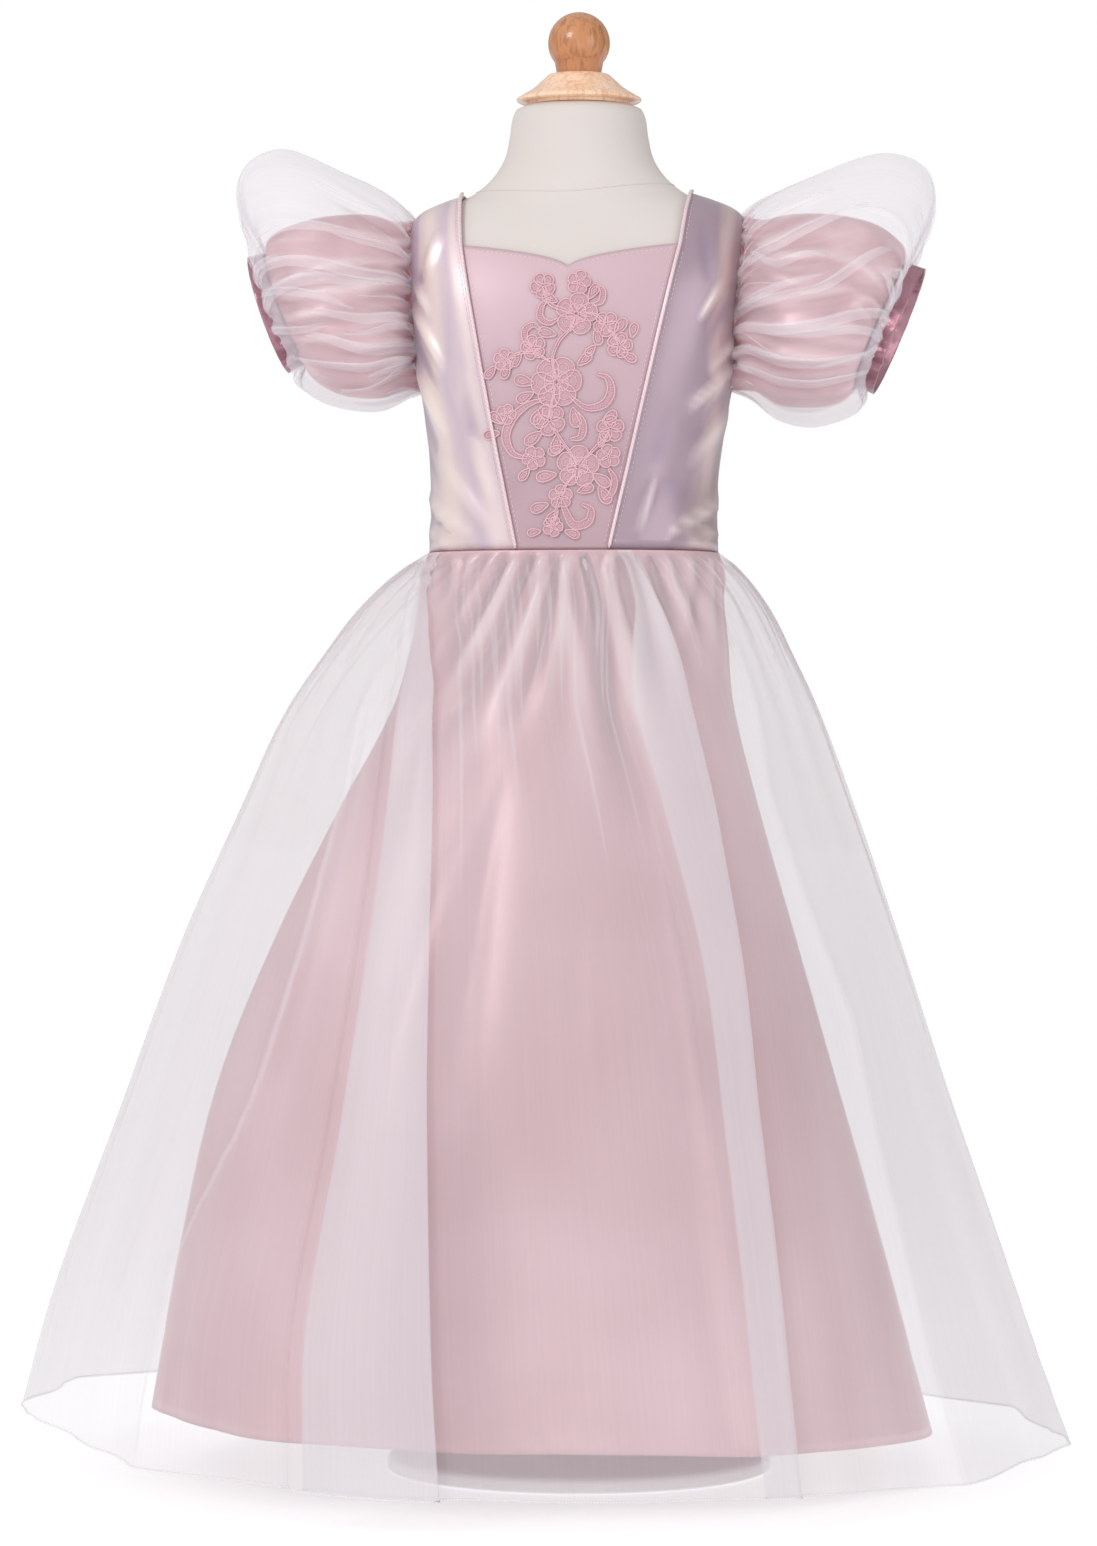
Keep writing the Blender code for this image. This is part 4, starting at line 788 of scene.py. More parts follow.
# Each scroll: its half width in the middle, then its points of x and height
SCROLLS = (
    (0.9, (-16, 795), (-11, 785), (-2, 781), (5, 778)),
    (0.7, (7, 778), (3, 768), (-4, 760), (-8, 748), (-5, 736)),
    (0.7, (8, 778), (18, 778), (25, 773), (31, 765), (35, 759)),
    (2, (-10, 789), (-16, 784), (-17, 776), (-11, 772), (-5, 775)),
    (1.9, (20, 797), (24, 793), (23, 786), (17, 784)),
    (2, (-16, 752), (-25, 758), (-27, 767), (-21, 771), (-16, 766)),
    (0.8, (-9, 746), (-20, 752), (-31, 752), (-41, 746)),
    (2.6, (4, 724), (15, 716), (26, 718), (31, 726), (29, 735), (22, 738)),
    (2.7, (-12, 722), (-24, 718), (-34, 709), (-38, 697), (-33, 686), (-23, 683)),
    (0.7, (-5, 733), (-8, 718), (-9, 708), (-2, 696), (6, 685), (10, 677)),
    (2.2, (8, 714), (13, 706), (12, 697), (5, 695)),
    (0.7, (12, 678), (20, 688), (28, 696), (31, 702)),
    (1.9, (30, 676), (34, 668), (32, 659), (27, 655)),
    (2.6, (-2, 660), (2, 648), (8, 638), (17, 640), (19, 648), (13, 652)),
    (0.7, (8, 672), (2, 664), (-2, 655), (-5, 642), (-6, 637)),
)
# x, height, direction in degrees and length of the loose leaves
LEAVES = (
    (-6, 786, 155, 10), (15, 788, 60, 10), (20, 768, 285, 10), (-6, 764, 165, 11),
    (33, 764, 60, 11), (-29, 752, 235, 9), (-37, 746, 250, 10), (-46, 744, 230, 9),
    (9, 744, 40, 10), (-20, 732, 165, 12), (-20, 726, 205, 11), (-14, 716, 240, 11),
    (6, 716, 285, 12), (26, 706, 40, 10), (-40, 706, 140, 10), (-42, 700, 190, 10),
    (-14, 700, 215, 12), (-4, 698, 265, 11), (1, 690, 200, 10), (20, 672, 325, 12),
    (-4, 672, 190, 12), (-22, 676, 230, 9), (24, 690, 70, 8), (24, 664, 300, 12),
    (-9, 652, 200, 11), (10, 660, 20, 10), (-3, 648, 235, 10), (-14, 634, 190, 8),
    (2, 634, 340, 9), (38, 752, 330, 9), (44, 762, 80, 9), (20, 757, 230, 8),
)


def panel_place(flat):
    """Points of x, minus the lift, and height, laid on the centre front's curve."""
    flat = np.asarray(flat, float)
    x, lift, height = flat[:, 0], -flat[:, 1], flat[:, 2]
    start = cloth_offset(height) + BODICE_CLOTH + LACE_GAP
    return on_form(angle_at(x, height), height, start + lift)


def smooth_line(points, steps):
    """A smooth line through points, with steps between each two."""
    ends = np.array([points[0], *points, points[-1]], float)
    line = []
    for before, here, there, after in zip(ends[:-3], ends[1:-2], ends[2:-1], ends[3:]):
        for t in np.arange(steps) / steps:
            bend = t**2 * (2 * before - 5 * here + 4 * there - after)
            curl = t**3 * (3 * here - before - 3 * there + after)
            line.append(here + (t * (there - before) + bend + curl) / 2)
    return np.array(line + [ends[-1]])


def filled_loop(outline, centre, rise):
    """A low closed pad inside a loop, thicker in the middle."""
    count = len(outline)
    ring = [(x, -LACE_LIFT * 0.3, z) for x, z in outline]
    points = ring + [(centre[0], -LACE_LIFT * 0.4 - rise, centre[1]), (centre[0], 0.0, centre[1])]
    faces = [(i, (i + 1) % count, count) for i in range(count)]
    faces += [((i + 1) % count, i, count + 1) for i in range(count)]
    return np.array(points), faces, np.array([(x, z) for x, _, z in points]) * MM


def add_cord(points, radius, sides, closed=False, lift=1.0):
    """A cord along points of x and height, as far off the cloth as a share of the lace's lift."""
    cords.append(tube([(x, -LACE_LIFT * lift, z) for x, z in points], radius, sides, closed, (0, -1, 0)))


def loop(x, z, direction, length, width, inner=True):
    """A petal or leaf from its base: a cord round a padded filling, with a second cord inside it."""
    turn = math.radians(direction)
    ahead, aside = np.array((math.cos(turn), math.sin(turn))), np.array((-math.sin(turn), math.cos(turn)))
    t = np.arange(18)[:, None] / 18
    reach = length * (1 - np.cos(math.tau * t)) / 2
    spread = width / 2 * np.sin(math.tau * t) * (0.55 + 0.75 * reach / length)
    outline = np.array((x, z)) + ahead * reach + aside * spread
    middle = np.array((x, z)) + ahead * length * 0.58
    rings = [(outline, CORD_RADIUS, 6)]
    if inner:
        rings.append((middle + (outline - middle) * 0.5, CORD_RADIUS * 0.75, 5))
    for ring, radius, sides in rings:
        add_cord(ring, radius, sides, True)
    fillings.append(filled_loop(outline[::-1], middle, 0.15))


BAR_RADIUS = 0.36
cords, fillings = [], []
for x, z, radius, petals in BLOSSOMS:
    tilt = (x * 7 + z * 3) % 72
    for i in range(petals):
        loop(x, z, tilt + 360 * i / petals, radius * 1.12, radius * 0.98, radius > 7.4)
    if radius > 11:
        for i in range(petals):
            loop(x, z, tilt + 360 * (i + 0.5) / petals, radius * 0.56, radius * 0.5, False)
    knot = [(x + radius * 0.13 * math.cos(t), -LACE_LIFT * 2, z + radius * 0.13 * math.sin(t))
            for t in np.arange(8) * math.tau / 8]
    cords.append(tube(knot, 0.5, 5, True, (0, -1, 0)))
for widest, *points in SCROLLS:
    line = smooth_line(points, 12)
    step = np.gradient(line, axis=0)
    step /= np.linalg.norm(step, axis=1, keepdims=True) + 1e-9
    aside = np.stack([-step[:, 1], step[:, 0]], axis=1)
    half = widest * (0.16 + 0.84 * np.sin(np.pi * np.linspace(0.04, 0.96, len(line))) ** 1.3)[:, None]
    edges = [line + aside * half * sign for sign in (1, -1)]
    for edge in edges:
        add_cord(edge, CORD_RADIUS, 6)
    outline = np.concatenate([edges[0], edges[1][::-1]])
    ring = [(a, -LACE_LIFT * 0.45, b) for a, b in outline] + [(a, 0.0, b) for a, b in outline]
    n, last = len(line), len(outline) - 1
    faces = [(i, last - i, last - i - 1, i + 1) for i in range(n - 1)]
    faces += [(2 * n + i + 1, 2 * n + last - i - 1, 2 * n + last - i, 2 * n + i) for i in range(n - 1)]
    faces += [((i + 1) % (2 * n), 2 * n + (i + 1) % (2 * n), 2 * n + i, i) for i in range(2 * n)]
    fillings.append((np.array(ring), faces, np.array([(a, b) for a, _, b in ring]) * MM))
    if widest > 1.5:
        for i in range(2, n - 2, 2):
            bar = np.linspace(edges[0][i], edges[1][i], 3)
            add_cord(bar, BAR_RADIUS, 5, lift=0.7)
for x, z, direction, length in LEAVES:
    loop(x, z, direction, length * 1.12, length * 0.62)

# The cords' copy of the rayon is paler than the filling's: a painted highlight on the raised cords and
# painted shade on the filling between them.
for name, kind, pale, deep, parts in (
    ("lace_cords", "corded_rayon", "EBC7CD", "D9ABB5", cords),
    ("lace_filling", "rayon_satin_stitch", "CFAAB3", "C09AA4", fillings),
):
    rayon, tree, shader = new_finish(kind, Roughness=0.6, Sheen_Weight=0.35, Sheen_Roughness=0.4)
    # The stitches lie side by side, 0.4 mm apart, drawn at 0.9 mm; their plies catch the light.
    place = add_node(tree, "ShaderNodeUVMap", uv_map="cloth")
    body = add_node(tree, "ShaderNodeTexCoord")
    stitches = add_node(
        tree, "ShaderNodeTexWave", {"Scale": 350.0, "Distortion": 1.5}, {"Vector": (place, "UV")},
        bands_direction="Y",
    )
    tone = add_node(
        tree, "ShaderNodeTexNoise", {"Scale": 60.0, "Detail": 2.0}, {"Vector": (body, "Object")}
    )
    colour = add_node(
        tree, "ShaderNodeMix", {A: deep, B: pale}, {"Factor": (tone, "Fac")}, data_type="RGBA"
    )
    thready = add_node(
        tree, "ShaderNodeMix", {A: deep},
        {"Factor": (stitches, "Fac"), B: (colour, MIXED)}, data_type="RGBA",
    )
    dress_shader(tree, shader, thready, (stitches, "Fac"), 0.35, 0.0003)
    piece = add_tubes(name, parts, rayon)
    flat = np.array([v.co for v in piece.data.vertices]) / MM
    piece.data.vertices.foreach_set("co", (panel_place(flat) * MM).astype(np.float32).ravel())
    piece.data.update()
    if name == "lace_filling":
        piece.data.shade_flat()
    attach(piece, "root")
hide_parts("lace_applique")

# The satin skirt: a front and two backs of pink polyester satin, gathered by hand into the waist seam
# and hemmed with a 50 mm turn-up. It hangs free to the floor and carries the overlay's shape.

HEM_REACH, FLARE_DEPTH_SHARE, WAIST_SQUARENESS, HEM_SQUARENESS = 270.0, 0.93, 2.4, 2.15
SATIN_STAND_OFF, ORGANZA_STAND_OFF = 2.4, 4.2
# height, half_width, centre_x
SATIN_SECTIONS = (
    (621.6, 98.4, -3.5), (609, 100.8, -4), (588, 103, -5), (560, 107, -6.5),
    (522, 114, -10), (455, 139, -19), (366, 172, -28), (264, 206, -33),
    (162, 233, -29), (38, 259, -22),
)
# angle, half_span, rise at the hem, height where the fold has died out
SATIN_FOLDS = (
    (12, 16, 7, 520), (52, 15, 9, 470), (94, 14, 5, 400), (131, 14, 8, 500),
    (172, 15, 9, 520), (212, 16, 8, 450), (256, 15, 9, 500),
    (300, 16, 8, 430), (336, 13, 6, 500),
)
# Creases from the waist seam: angle at the seam and at the end, length, half width and depth
SATIN_CREASES = (
    (79, 56, 190, 3.6, 6.6), (105, 134, 150, 3.4, 5.4), (117, 143, 100, 2.8, 4.2),
    (92, 104, 140, 3, 5), (63, 38, 130, 3.2, 4.8), (49, 27, 110, 2.9, 4),
    (72, 64, 120, 2.6, 4.6), (88, 71, 100, 2, 3.6),
    (84, 78, 80, 2.2, 3.2), (98, 116, 95, 2.4, 3), (111, 137, 75, 2.3, 2.8),
    (70, 46, 95, 2.6, 3.4), (56, 30, 70, 2.2, 2.6), (125, 148, 80, 2.8, 2.8),
    (40, 20, 80, 2.6, 2.6), (80, 66, 60, 1.7, 2.4), (94, 110, 55, 1.7, 2.2),
)
SATIN_HEM = (31.0, 40.0, 43.0, 38.0)
TURN_UP = 50.0
SATIN_COLUMNS, SATIN_ROWS = 440, 112
# The rows of both skirts lie closer together towards the waist by this power.
ROW_CROWDING = 1.35


def skirt_points(angle, height, rise, sections, stand_off, hem):
    """Points of a skirt at an angle and height, moved out by a rise. The hem runs at its uneven height."""
    width, centre = along(sections, 1)(height), along(sections, 2)(height)
    flare = (width - sections[0][1]) * FLARE_DEPTH_SHARE
    front, back = form_front(WAIST) + stand_off + flare, form_back(WAIST) + stand_off + flare
    squareness = mix(HEM_SQUARENESS, WAIST_SQUARENESS, smooth_step(height, 455.0, 594.0))
    x, y = oval(angle, width + rise, front + rise, back + rise, squareness)
    c, s = np.cos(np.radians(angle)), np.sin(np.radians(angle))
    wanted = c * c * np.where(c > 0, hem[0], hem[2]) + s * s * np.where(s > 0, hem[1], hem[3])
    plain = sections[-1][0]
    lifted = height + (wanted - plain) * (1 - smooth_step(height, plain, plain + HEM_REACH))
    return np.stack(np.broadcast_arrays(x + centre, y, lifted), axis=-1)


def turn_from(angle, centre):
    """How far round the body an angle lies from another, from -180 to 180."""
    return (angle - centre + 180) % 360 - 180


def fold_rise(folds, angle, height, hem):
    """How far the soft folds move the cloth out, most at the hem."""
    rise = 0.0
    for centre, half_span, top_rise, fade in folds:
        away = abs(turn_from(angle, centre))
        reach = np.maximum((fade - height) / (fade - hem), 0.0) ** 1.3
        rise = rise + top_rise * reach * (0.5 + 0.5 * np.cos(np.pi * np.minimum(away / half_span, 1.0)))
    return rise


def gathered(angle, below, creases, start=9.0):
    """The rise of gathers that run from a seam: a trough between two low ridges, deepest near the seam."""
    rise = np.zeros(np.broadcast(angle, below).shape)
    for first, last, length, half_width, depth in creases:
        share = np.clip(below / length, 0.0, 1.0)
        away = turn_from(angle, mix(first, last, share))
        near = abs(away) / (half_width * (1 + 0.9 * share))
        strength = depth * smooth_step(below, 0.0, start) * (1 - share) ** 1.2
        rise += strength * (0.5 * np.exp(-(((near - 1.9) / 0.9) ** 2)) - np.exp(-(near**2)))
    return rise


def drawn_gathers(seed, first, last, count, lengths, half_widths, depths, drift):
    """Uneven gathers from one angle to another, each unlike its neighbours."""
    draw = random.Random(seed)
    rows = []
    for i in range(count):
        angle = mix(first, last, (i + 0.5 + draw.uniform(-0.3, 0.3)) / count)
        length = draw.uniform(*lengths) * draw.choice((0.6, 1.0, 1.0, 1.5))
        last_angle = angle + draw.uniform(-drift, drift)
        rows.append((angle, last_angle, length, draw.uniform(*half_widths), draw.uniform(*depths)))
    return rows


def cut_panel(grid, first, last):
    """Some columns of a skirt, drawn in at both edges by half the gap of a seam."""
    panel = grid[:, first:last + 1].copy()
    for edge, inside in ((0, 1), (-1, -2)):
        step = panel[:, inside] - panel[:, edge]
        panel[:, edge] += step / np.linalg.norm(step, axis=1, keepdims=True) * SEAM_GAP / 2
    return panel


hem = SATIN_SECTIONS[-1][0]
share = np.linspace(0, 1, SATIN_ROWS)[:, None]
height = hem + (SATIN_SECTIONS[0][0] - hem) * (1 - (1 - share) ** ROW_CROWDING)
angle = np.linspace(-90, 270, SATIN_COLUMNS + 1)[None, :]
below = SATIN_SECTIONS[0][0] - height
creases = list(SATIN_CREASES) + drawn_gathers(4, 134, 392, 30, (60, 120), (1.8, 3.0), (1.5, 2.6), 14)
waist_gathers = gathered(angle, below, creases)
rise = fold_rise(SATIN_FOLDS, angle, height, hem) + waist_gathers
# Long soft rolls down the skirt, and small puckers above the turned-up hem
rise = rise + creased(angle, height, (
    (54, 500, 48, 180, 5, 3.2), (66, 470, 72, 160, 4, -2.2), (88, 470, 86, 150, 7, 2),
    (110, 440, 118, 170, 5, 2.4), (101, 480, 99, 240, 4, -1.8), (34, 480, 26, 160, 5, 2.4),
    (142, 500, 150, 150, 6, 2.6), (10, 470, 4, 190, 6, 2.4), (168, 480, 172, 160, 6, 2.2),
    (205, 480, 210, 150, 6, 2.4), (236, 470, 232, 160, 5, 2.6), (262, 490, 266, 150, 6, 2.4),
    (-62, 480, -66, 160, 5, 2.6), (-34, 470, -30, 150, 6, 2.4), (-12, 480, -8, 170, 5, 2.2),
))
above_hem = height - hem
pucker_draw = random.Random(11)
# The least and most of a pucker's angle, half span and depth
PUCKERS, PUCKER_RANGES = 60, ((-90, 270), (0.8, 1.6), (0.3, 1.0))
puckers = [tuple(pucker_draw.uniform(*span) for span in PUCKER_RANGES) for _ in range(PUCKERS)]
puckers += [(86.0, 1.6, 1.8), (91.0, 1.4, 1.6), (81.0, 1.3, 1.2), (98.0, 1.5, 1.3), (74.0, 1.4, 0.9)]
for spot, half_span, depth in puckers:
    away = turn_from(angle, spot)
    rise = rise + depth * np.exp(-((away / half_span) ** 2)) * np.exp(-(((above_hem - 9.0) / 11.0) ** 2))
rise = rise - 0.55 * np.exp(-(((above_hem - TURN_UP) / 1.8) ** 2))
rise = rise * smooth_step(below, 0.0, 6.0)
# How high a point stands in the gathers, which are up to 7 mm deep; it sets the satin's painted highlight and
# shade
satin_fold = 0.5 + 1.35 * waist_gathers / 7.0
satin_grid = skirt_points(angle, height, rise, SATIN_SECTIONS, SATIN_STAND_OFF, SATIN_HEM)


def pink_satin_finish(name, roughness, patches, deep, pale, hollow):
    """Pink polyester satin, with painted shade down in a crease and a painted highlight on a ridge."""
    finish, tree, shader = new_finish(
        name, Roughness=roughness, Sheen_Weight=0.25, Sheen_Roughness=0.35, Metallic=0.12,
        Specular_IOR_Level=0.75,
    )
    # Satin's long floats give it soft broad highlights. The floats are 0.2 mm wide, drawn as faint
    # streaks of 1.5 mm down the cloth, and the tone wanders a little.
    place = add_node(tree, "ShaderNodeUVMap", uv_map="cloth")
    streak = add_node(tree, "ShaderNodeMapping", {"Scale": (1.0, 0.03, 1.0)}, {"Vector": (place, "UV")})
    floats = add_node(
        tree, "ShaderNodeTexNoise", {"Scale": 650.0, "Detail": 2.0}, {"Vector": (streak, "Vector")}
    )
    body = add_node(tree, "ShaderNodeTexCoord")
    wander = add_node(
        tree, "ShaderNodeTexNoise", {"Scale": patches, "Detail": 2.0}, {"Vector": (body, "Object")}
    )
    broad = add_node(
        tree, "ShaderNodeMapRange", {"From Min": 0.36, "From Max": 0.64}, {"Value": (wander, "Fac")}
    )
    fold = add_node(tree, "ShaderNodeAttribute", attribute_name="fold")
    tone = add_node(
        tree, "ShaderNodeMix", {A: deep, B: pale}, {"Factor": (broad, "Result")}, data_type="RGBA"
    )
    # The fold paints a highlight along the gathers' ridges and shade down in their troughs.
    lit, painted_trough_shade = [
        add_node(
            tree, "ShaderNodeMapRange", {"From Min": 0.5, "From Max": end, "To Max": most},
            {"Value": (fold, "Fac")},
        )
        for end, most in ((0.9, 0.75), (0.1, 0.85))
    ]
    ridge = add_node(
        tree, "ShaderNodeMix", {B: "F7E2E2"},
        {"Factor": (lit, "Result"), A: (tone, MIXED)}, data_type="RGBA",
    )
    colour = add_node(
        tree, "ShaderNodeMix", {B: hollow},
        {"Factor": (painted_trough_shade, "Result"), A: (ridge, MIXED)}, data_type="RGBA",
    )
    dress_shader(tree, shader, colour, (floats, "Fac"), 0.03, 0.0003)
    return finish


# The last colour is the painted shade down in the creases.
pink_satin = pink_satin_finish("pink_polyester_satin", 0.3, 5.0, "C48B93", "DDB1B7", "A0787E")
SKIRT_CLOTH = 1.0
quarter = SATIN_COLUMNS // 4
for name, first, last, area, flat in (
    ("back_right", 0, quarter, 0.165, (0.395, 0.615)),
    ("front", quarter, 3 * quarter, 0.330, (0.79, 0.615)),
    ("back_left", 3 * quarter, 4 * quarter, 0.165, (0.395, 0.615)),
):
    panel = cut_panel(satin_grid, first, last)
    fold = satin_fold[:, first:last + 1]
    piece = add_piece(f"satin_{name}", panel, grid_quads(*panel.shape[:2]), pink_satin, cloth_uv(panel), fold)
    finish_with(piece, "SOLIDIFY", thickness=SKIRT_CLOTH * MM, offset=0.0)
    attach(piece, "root")
    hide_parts(f"satin_skirt_{name}")
hem_row = int(np.argmin(abs(height[:, 0] - hem - TURN_UP + 1.0)))
line = satin_grid[hem_row, ::2]
outward = line - line.mean(axis=0)
outward[:, 2] = 0
outward /= np.linalg.norm(outward, axis=1, keepdims=True)
stitch_row("hem_stitches", line + outward * (SKIRT_CLOTH / 2 + 0.1))

# The organza overlay: three panels of crisp, clear white polyester organza, gathered to the waist over
# the satin. Two deep pleats beside the front hide the seams, and the hem is rolled and sewn.

ORGANZA_SECTIONS = (
    (621.2, 100.2, -3.5), (608, 117, -6), (586, 137, -9.5), (555, 157, -13.5),
    (515, 180, -18), (450, 207, -21.5), (366, 239, -26), (250, 277, -28.5),
    (120, 320, -28), (31, 346, -24),
)
# height, angle of the folded edge, overlap and layer spacing
LEFT_PLEAT = (
    (621.2, 147, 9, 2.4), (608, 137, 11, 3.2), (586, 127.5, 14, 4.2),
    (555, 118.5, 20, 4.8), (515, 111.7, 28, 5), (450, 106.5, 37, 5),
    (366, 102.4, 46, 5), (250, 99, 64, 6), (120, 96, 91, 7), (22, 94.6, 97, 7),
)
RIGHT_PLEAT = (
    (621.2, 58, 9, 2.4), (608, 57, 11, 3), (586, 55, 16, 3.8), (555, 52.5, 30, 4),
    (515, 51.3, 39, 4), (450, 49.6, 36, 4), (366, 49.5, 28, 4.5), (250, 51, 24, 5),
    (120, 52.8, 24, 5.5), (22, 54.5, 23, 5.5),
)
PLEAT_LEAD = 8.0
# across in half overlaps, lead in lead widths and layer, of the points through a pleat
PLEAT_SHAPE = (
    (-1, -1, 0), (-1, 0, 0.1), (-0.3, 0, 0), (0.6, 0, 0), (1, 0, 0.5),
    (0.6, 0, 1), (0, 0, 1), (-0.6, 0, 1), (-1, 0, 1.5), (-0.6, 0, 2), (0.3, 0, 2),
    (1, 0, 1.7), (1, 1, 0),
)
ORGANZA_FOLDS = (
    (-2, 11, 10, 560), (17, 9, -6, 430), (33, 11, 12, 540),
    (76, 12, 5, 430), (131, 10, 14, 590), (153, 10, -8, 400),
    (174, 11, 9, 560), (197, 12, 14, 500), (222, 11, 12, 520),
    (248, 12, 16, 480), (277, 12, 13, 500), (303, 12, 16, 540),
    (331, 11, 13, 470),
)
ORGANZA_HEM = (21.0, 22.0, 44.0, 30.0)
# Crisp ridges of single folds: half width and rise, then the ridge's points of height and angle
RIDGES = (
    (7, 5, ((590, 137), (548, 132), (459, 127.6), (368, 126), (263, 127.4), (157, 133.8), (20, 132.7))),
    (8, 4, ((600, 31), (561, 33.8), (462, 36.8), (390, 34.8), (312, 31.1), (230, 32.8), (20, 34.5))),
    (9, 3.5, ((590, 160), (500, 158), (380, 160), (240, 163), (120, 165), (20, 166))),
    (8, 3.5, ((580, 8), (480, 10), (360, 7), (220, 3), (100, 1), (20, 0))),
    (8, 4, ((590, 192), (480, 190), (340, 195), (200, 197), (20, 198))),
    (9, 4.5, ((590, 214), (460, 219), (340, 221), (180, 224), (20, 223))),
    (8, 4.5, ((590, 243), (460, 246), (340, 250), (180, 247), (20, 249))),
    (9, 4.5, ((590, 284), (460, 280), (340, 276), (180, 278), (20, 277))),
    (8, 4, ((590, 306), (460, 301), (340, 304), (180, 302), (20, 304))),
    (9, 4.5, ((590, 325), (460, 330), (340, 333), (180, 330), (20, 331))),
    (8, 3.5, ((590, 345), (460, 346), (340, 349), (180, 347), (20, 348))),
)
OUTER_COLUMNS, PLEAT_STEPS, MIDDLE_COLUMNS, ORGANZA_ROWS = 190, 6, 90, 130
# The number of small folds that start in the hem and die out on the way up
HEM_SWAYS = 46


def organza_row(height):
    """Angle and plain rise of each column of the overlay at one height."""
    width = along(ORGANZA_SECTIONS, 1)(height)
    round_body = np.arange(-90.0, 271.0)
    plain = skirt_points(round_body, height, 0.0, ORGANZA_SECTIONS, ORGANZA_STAND_OFF, ORGANZA_HEM)
    reach_at = np.hypot(plain[:, 0] - along(ORGANZA_SECTIONS, 2)(height), plain[:, 1])
    stops, pleats = [-90.0], []
    for table in (RIGHT_PLEAT, LEFT_PLEAT):
        edge, overlap, spacing = [along(table, i)(height) for i in (1, 2, 3)]
        per_mm = math.degrees(1 / np.interp(edge, round_body, reach_at))
        centre = edge + overlap / 2 * per_mm
        reach = (overlap / 2 + PLEAT_LEAD) * per_mm
        stops += [centre - reach, centre + reach]
        t = np.linspace(0, 12, 12 * PLEAT_STEPS + 1)[:-1]
        across, lead, layer = [np.interp(t, np.arange(13), [row[i] for row in PLEAT_SHAPE]) for i in range(3)]
        kernel = np.ones(PLEAT_STEPS - 1) / (PLEAT_STEPS - 1)
        ends = PLEAT_STEPS // 2 - 1
        across, lead, layer = [
            np.convolve(np.pad(v, ends, mode="reflect", reflect_type="odd"), kernel, mode="valid")
            for v in (across, lead, layer)
        ]
        pleats.append((centre + (across * overlap / 2 + lead * PLEAT_LEAD) * per_mm, layer * spacing))
    stops.append(270.0)
    angles, rises = [], []
    for zone, count in enumerate((OUTER_COLUMNS, 0, MIDDLE_COLUMNS, 0, OUTER_COLUMNS)):
        if zone in (1, 3):
            angles.append(pleats[zone // 2][0])
            rises.append(pleats[zone // 2][1])
        else:
            angles.append(mix(stops[zone], stops[zone + 1], np.arange(count) / count))
            rises.append(np.zeros(count))
    angles.append(np.array([270.0]))
    rises.append(np.zeros(1))
    return np.concatenate(angles), np.concatenate(rises)


hem = ORGANZA_SECTIONS[-1][0]
share = np.linspace(0, 1, ORGANZA_ROWS)
heights = hem + (ORGANZA_SECTIONS[0][0] - hem) * (1 - (1 - share) ** ROW_CROWDING)
rows = [organza_row(h) for h in heights]
angle = np.array([row[0] for row in rows])
layers = np.array([row[1] for row in rows])
height = heights[:, None]
below = ORGANZA_SECTIONS[0][0] - height
fine_gathers = drawn_gathers(9, -90, 270, 84, (26, 80), (1.1, 1.9), (1.0, 2.2), 5)
fine_gathers += drawn_gathers(12, -90, 270, 26, (150, 300), (1.6, 2.8), (2.0, 3.6), 6)
rise = fold_rise(ORGANZA_FOLDS, angle, height, hem) + gathered(angle, below, fine_gathers, 7.0)
radius = along(ORGANZA_SECTIONS, 1)(height)
for half_width, top_rise, path in RIDGES:
    path = np.array(sorted(path), float)
    centre = np.interp(height, path[:, 0], path[:, 1])
    away = abs(turn_from(angle, centre)) * np.radians(1) * radius
    fade = smooth_step(below, 15.0, 110.0)
    rise = rise + top_rise * fade * np.exp(-((away / half_width) ** 1.25))
draw = random.Random(21)
for _ in range(HEM_SWAYS):
    spot, half_span = draw.uniform(-90, 270), draw.uniform(1.6, 4.2)
    reach, depth, drift = draw.uniform(120, 420), draw.uniform(-1.6, 1.8), draw.uniform(-4, 4)
    away = turn_from(angle, spot + drift * np.clip((height - hem) / reach, 0, 1))
    rise = rise + depth * np.exp(-((away / half_span) ** 2)) * (1 - smooth_step(height, hem, hem + reach))
rise = layers + rise * smooth_step(below, 0.0, 8.0)
organza_grid = skirt_points(angle, height, rise, ORGANZA_SECTIONS, ORGANZA_STAND_OFF, ORGANZA_HEM)


def clear_organza(name, alpha, pale, deep):
    """White organza: clear, crisp and glassy, and denser to the eye where layers lie over each other."""
    finish, tree, shader = new_finish(
        name, Alpha=alpha, Roughness=0.4, Sheen_Weight=0.5, Sheen_Roughness=0.3, Specular_IOR_Level=0.6
    )
    # The glassy threads stand 0.2 mm apart, drawn as faint streaks of 1.5 mm along the cloth.
    place = add_node(tree, "ShaderNodeUVMap", uv_map="cloth")
    streak = add_node(tree, "ShaderNodeMapping", {"Scale": (1.0, 0.012, 1.0)}, {"Vector": (place, "UV")})
    threads = add_node(
        tree, "ShaderNodeTexNoise", {"Scale": 420.0, "Detail": 3.0}, {"Vector": (streak, "Vector")}
    )
    colour = add_node(
        tree, "ShaderNodeMix", {A: deep, B: pale}, {"Factor": (threads, "Fac")}, data_type="RGBA"
    )
    dress_shader(tree, shader, colour, (threads, "Fac"), 0.08, 0.0003)
    return finish


organza = clear_organza("clear_white_organza", 0.37, "E8E3E7", "DED8DD")
# The tucks' copy of the organza is paler: a painted highlight along each fold, over the doubled cloth.
organza_tuck_highlight = clear_organza("tucked_organza_painted_highlight", 0.24, "F4F0F4", "ECE8EC")
hem_roll, tree, shader = new_finish("rolled_organza_hem", Alpha=0.34, Roughness=0.5, Sheen_Weight=0.3)
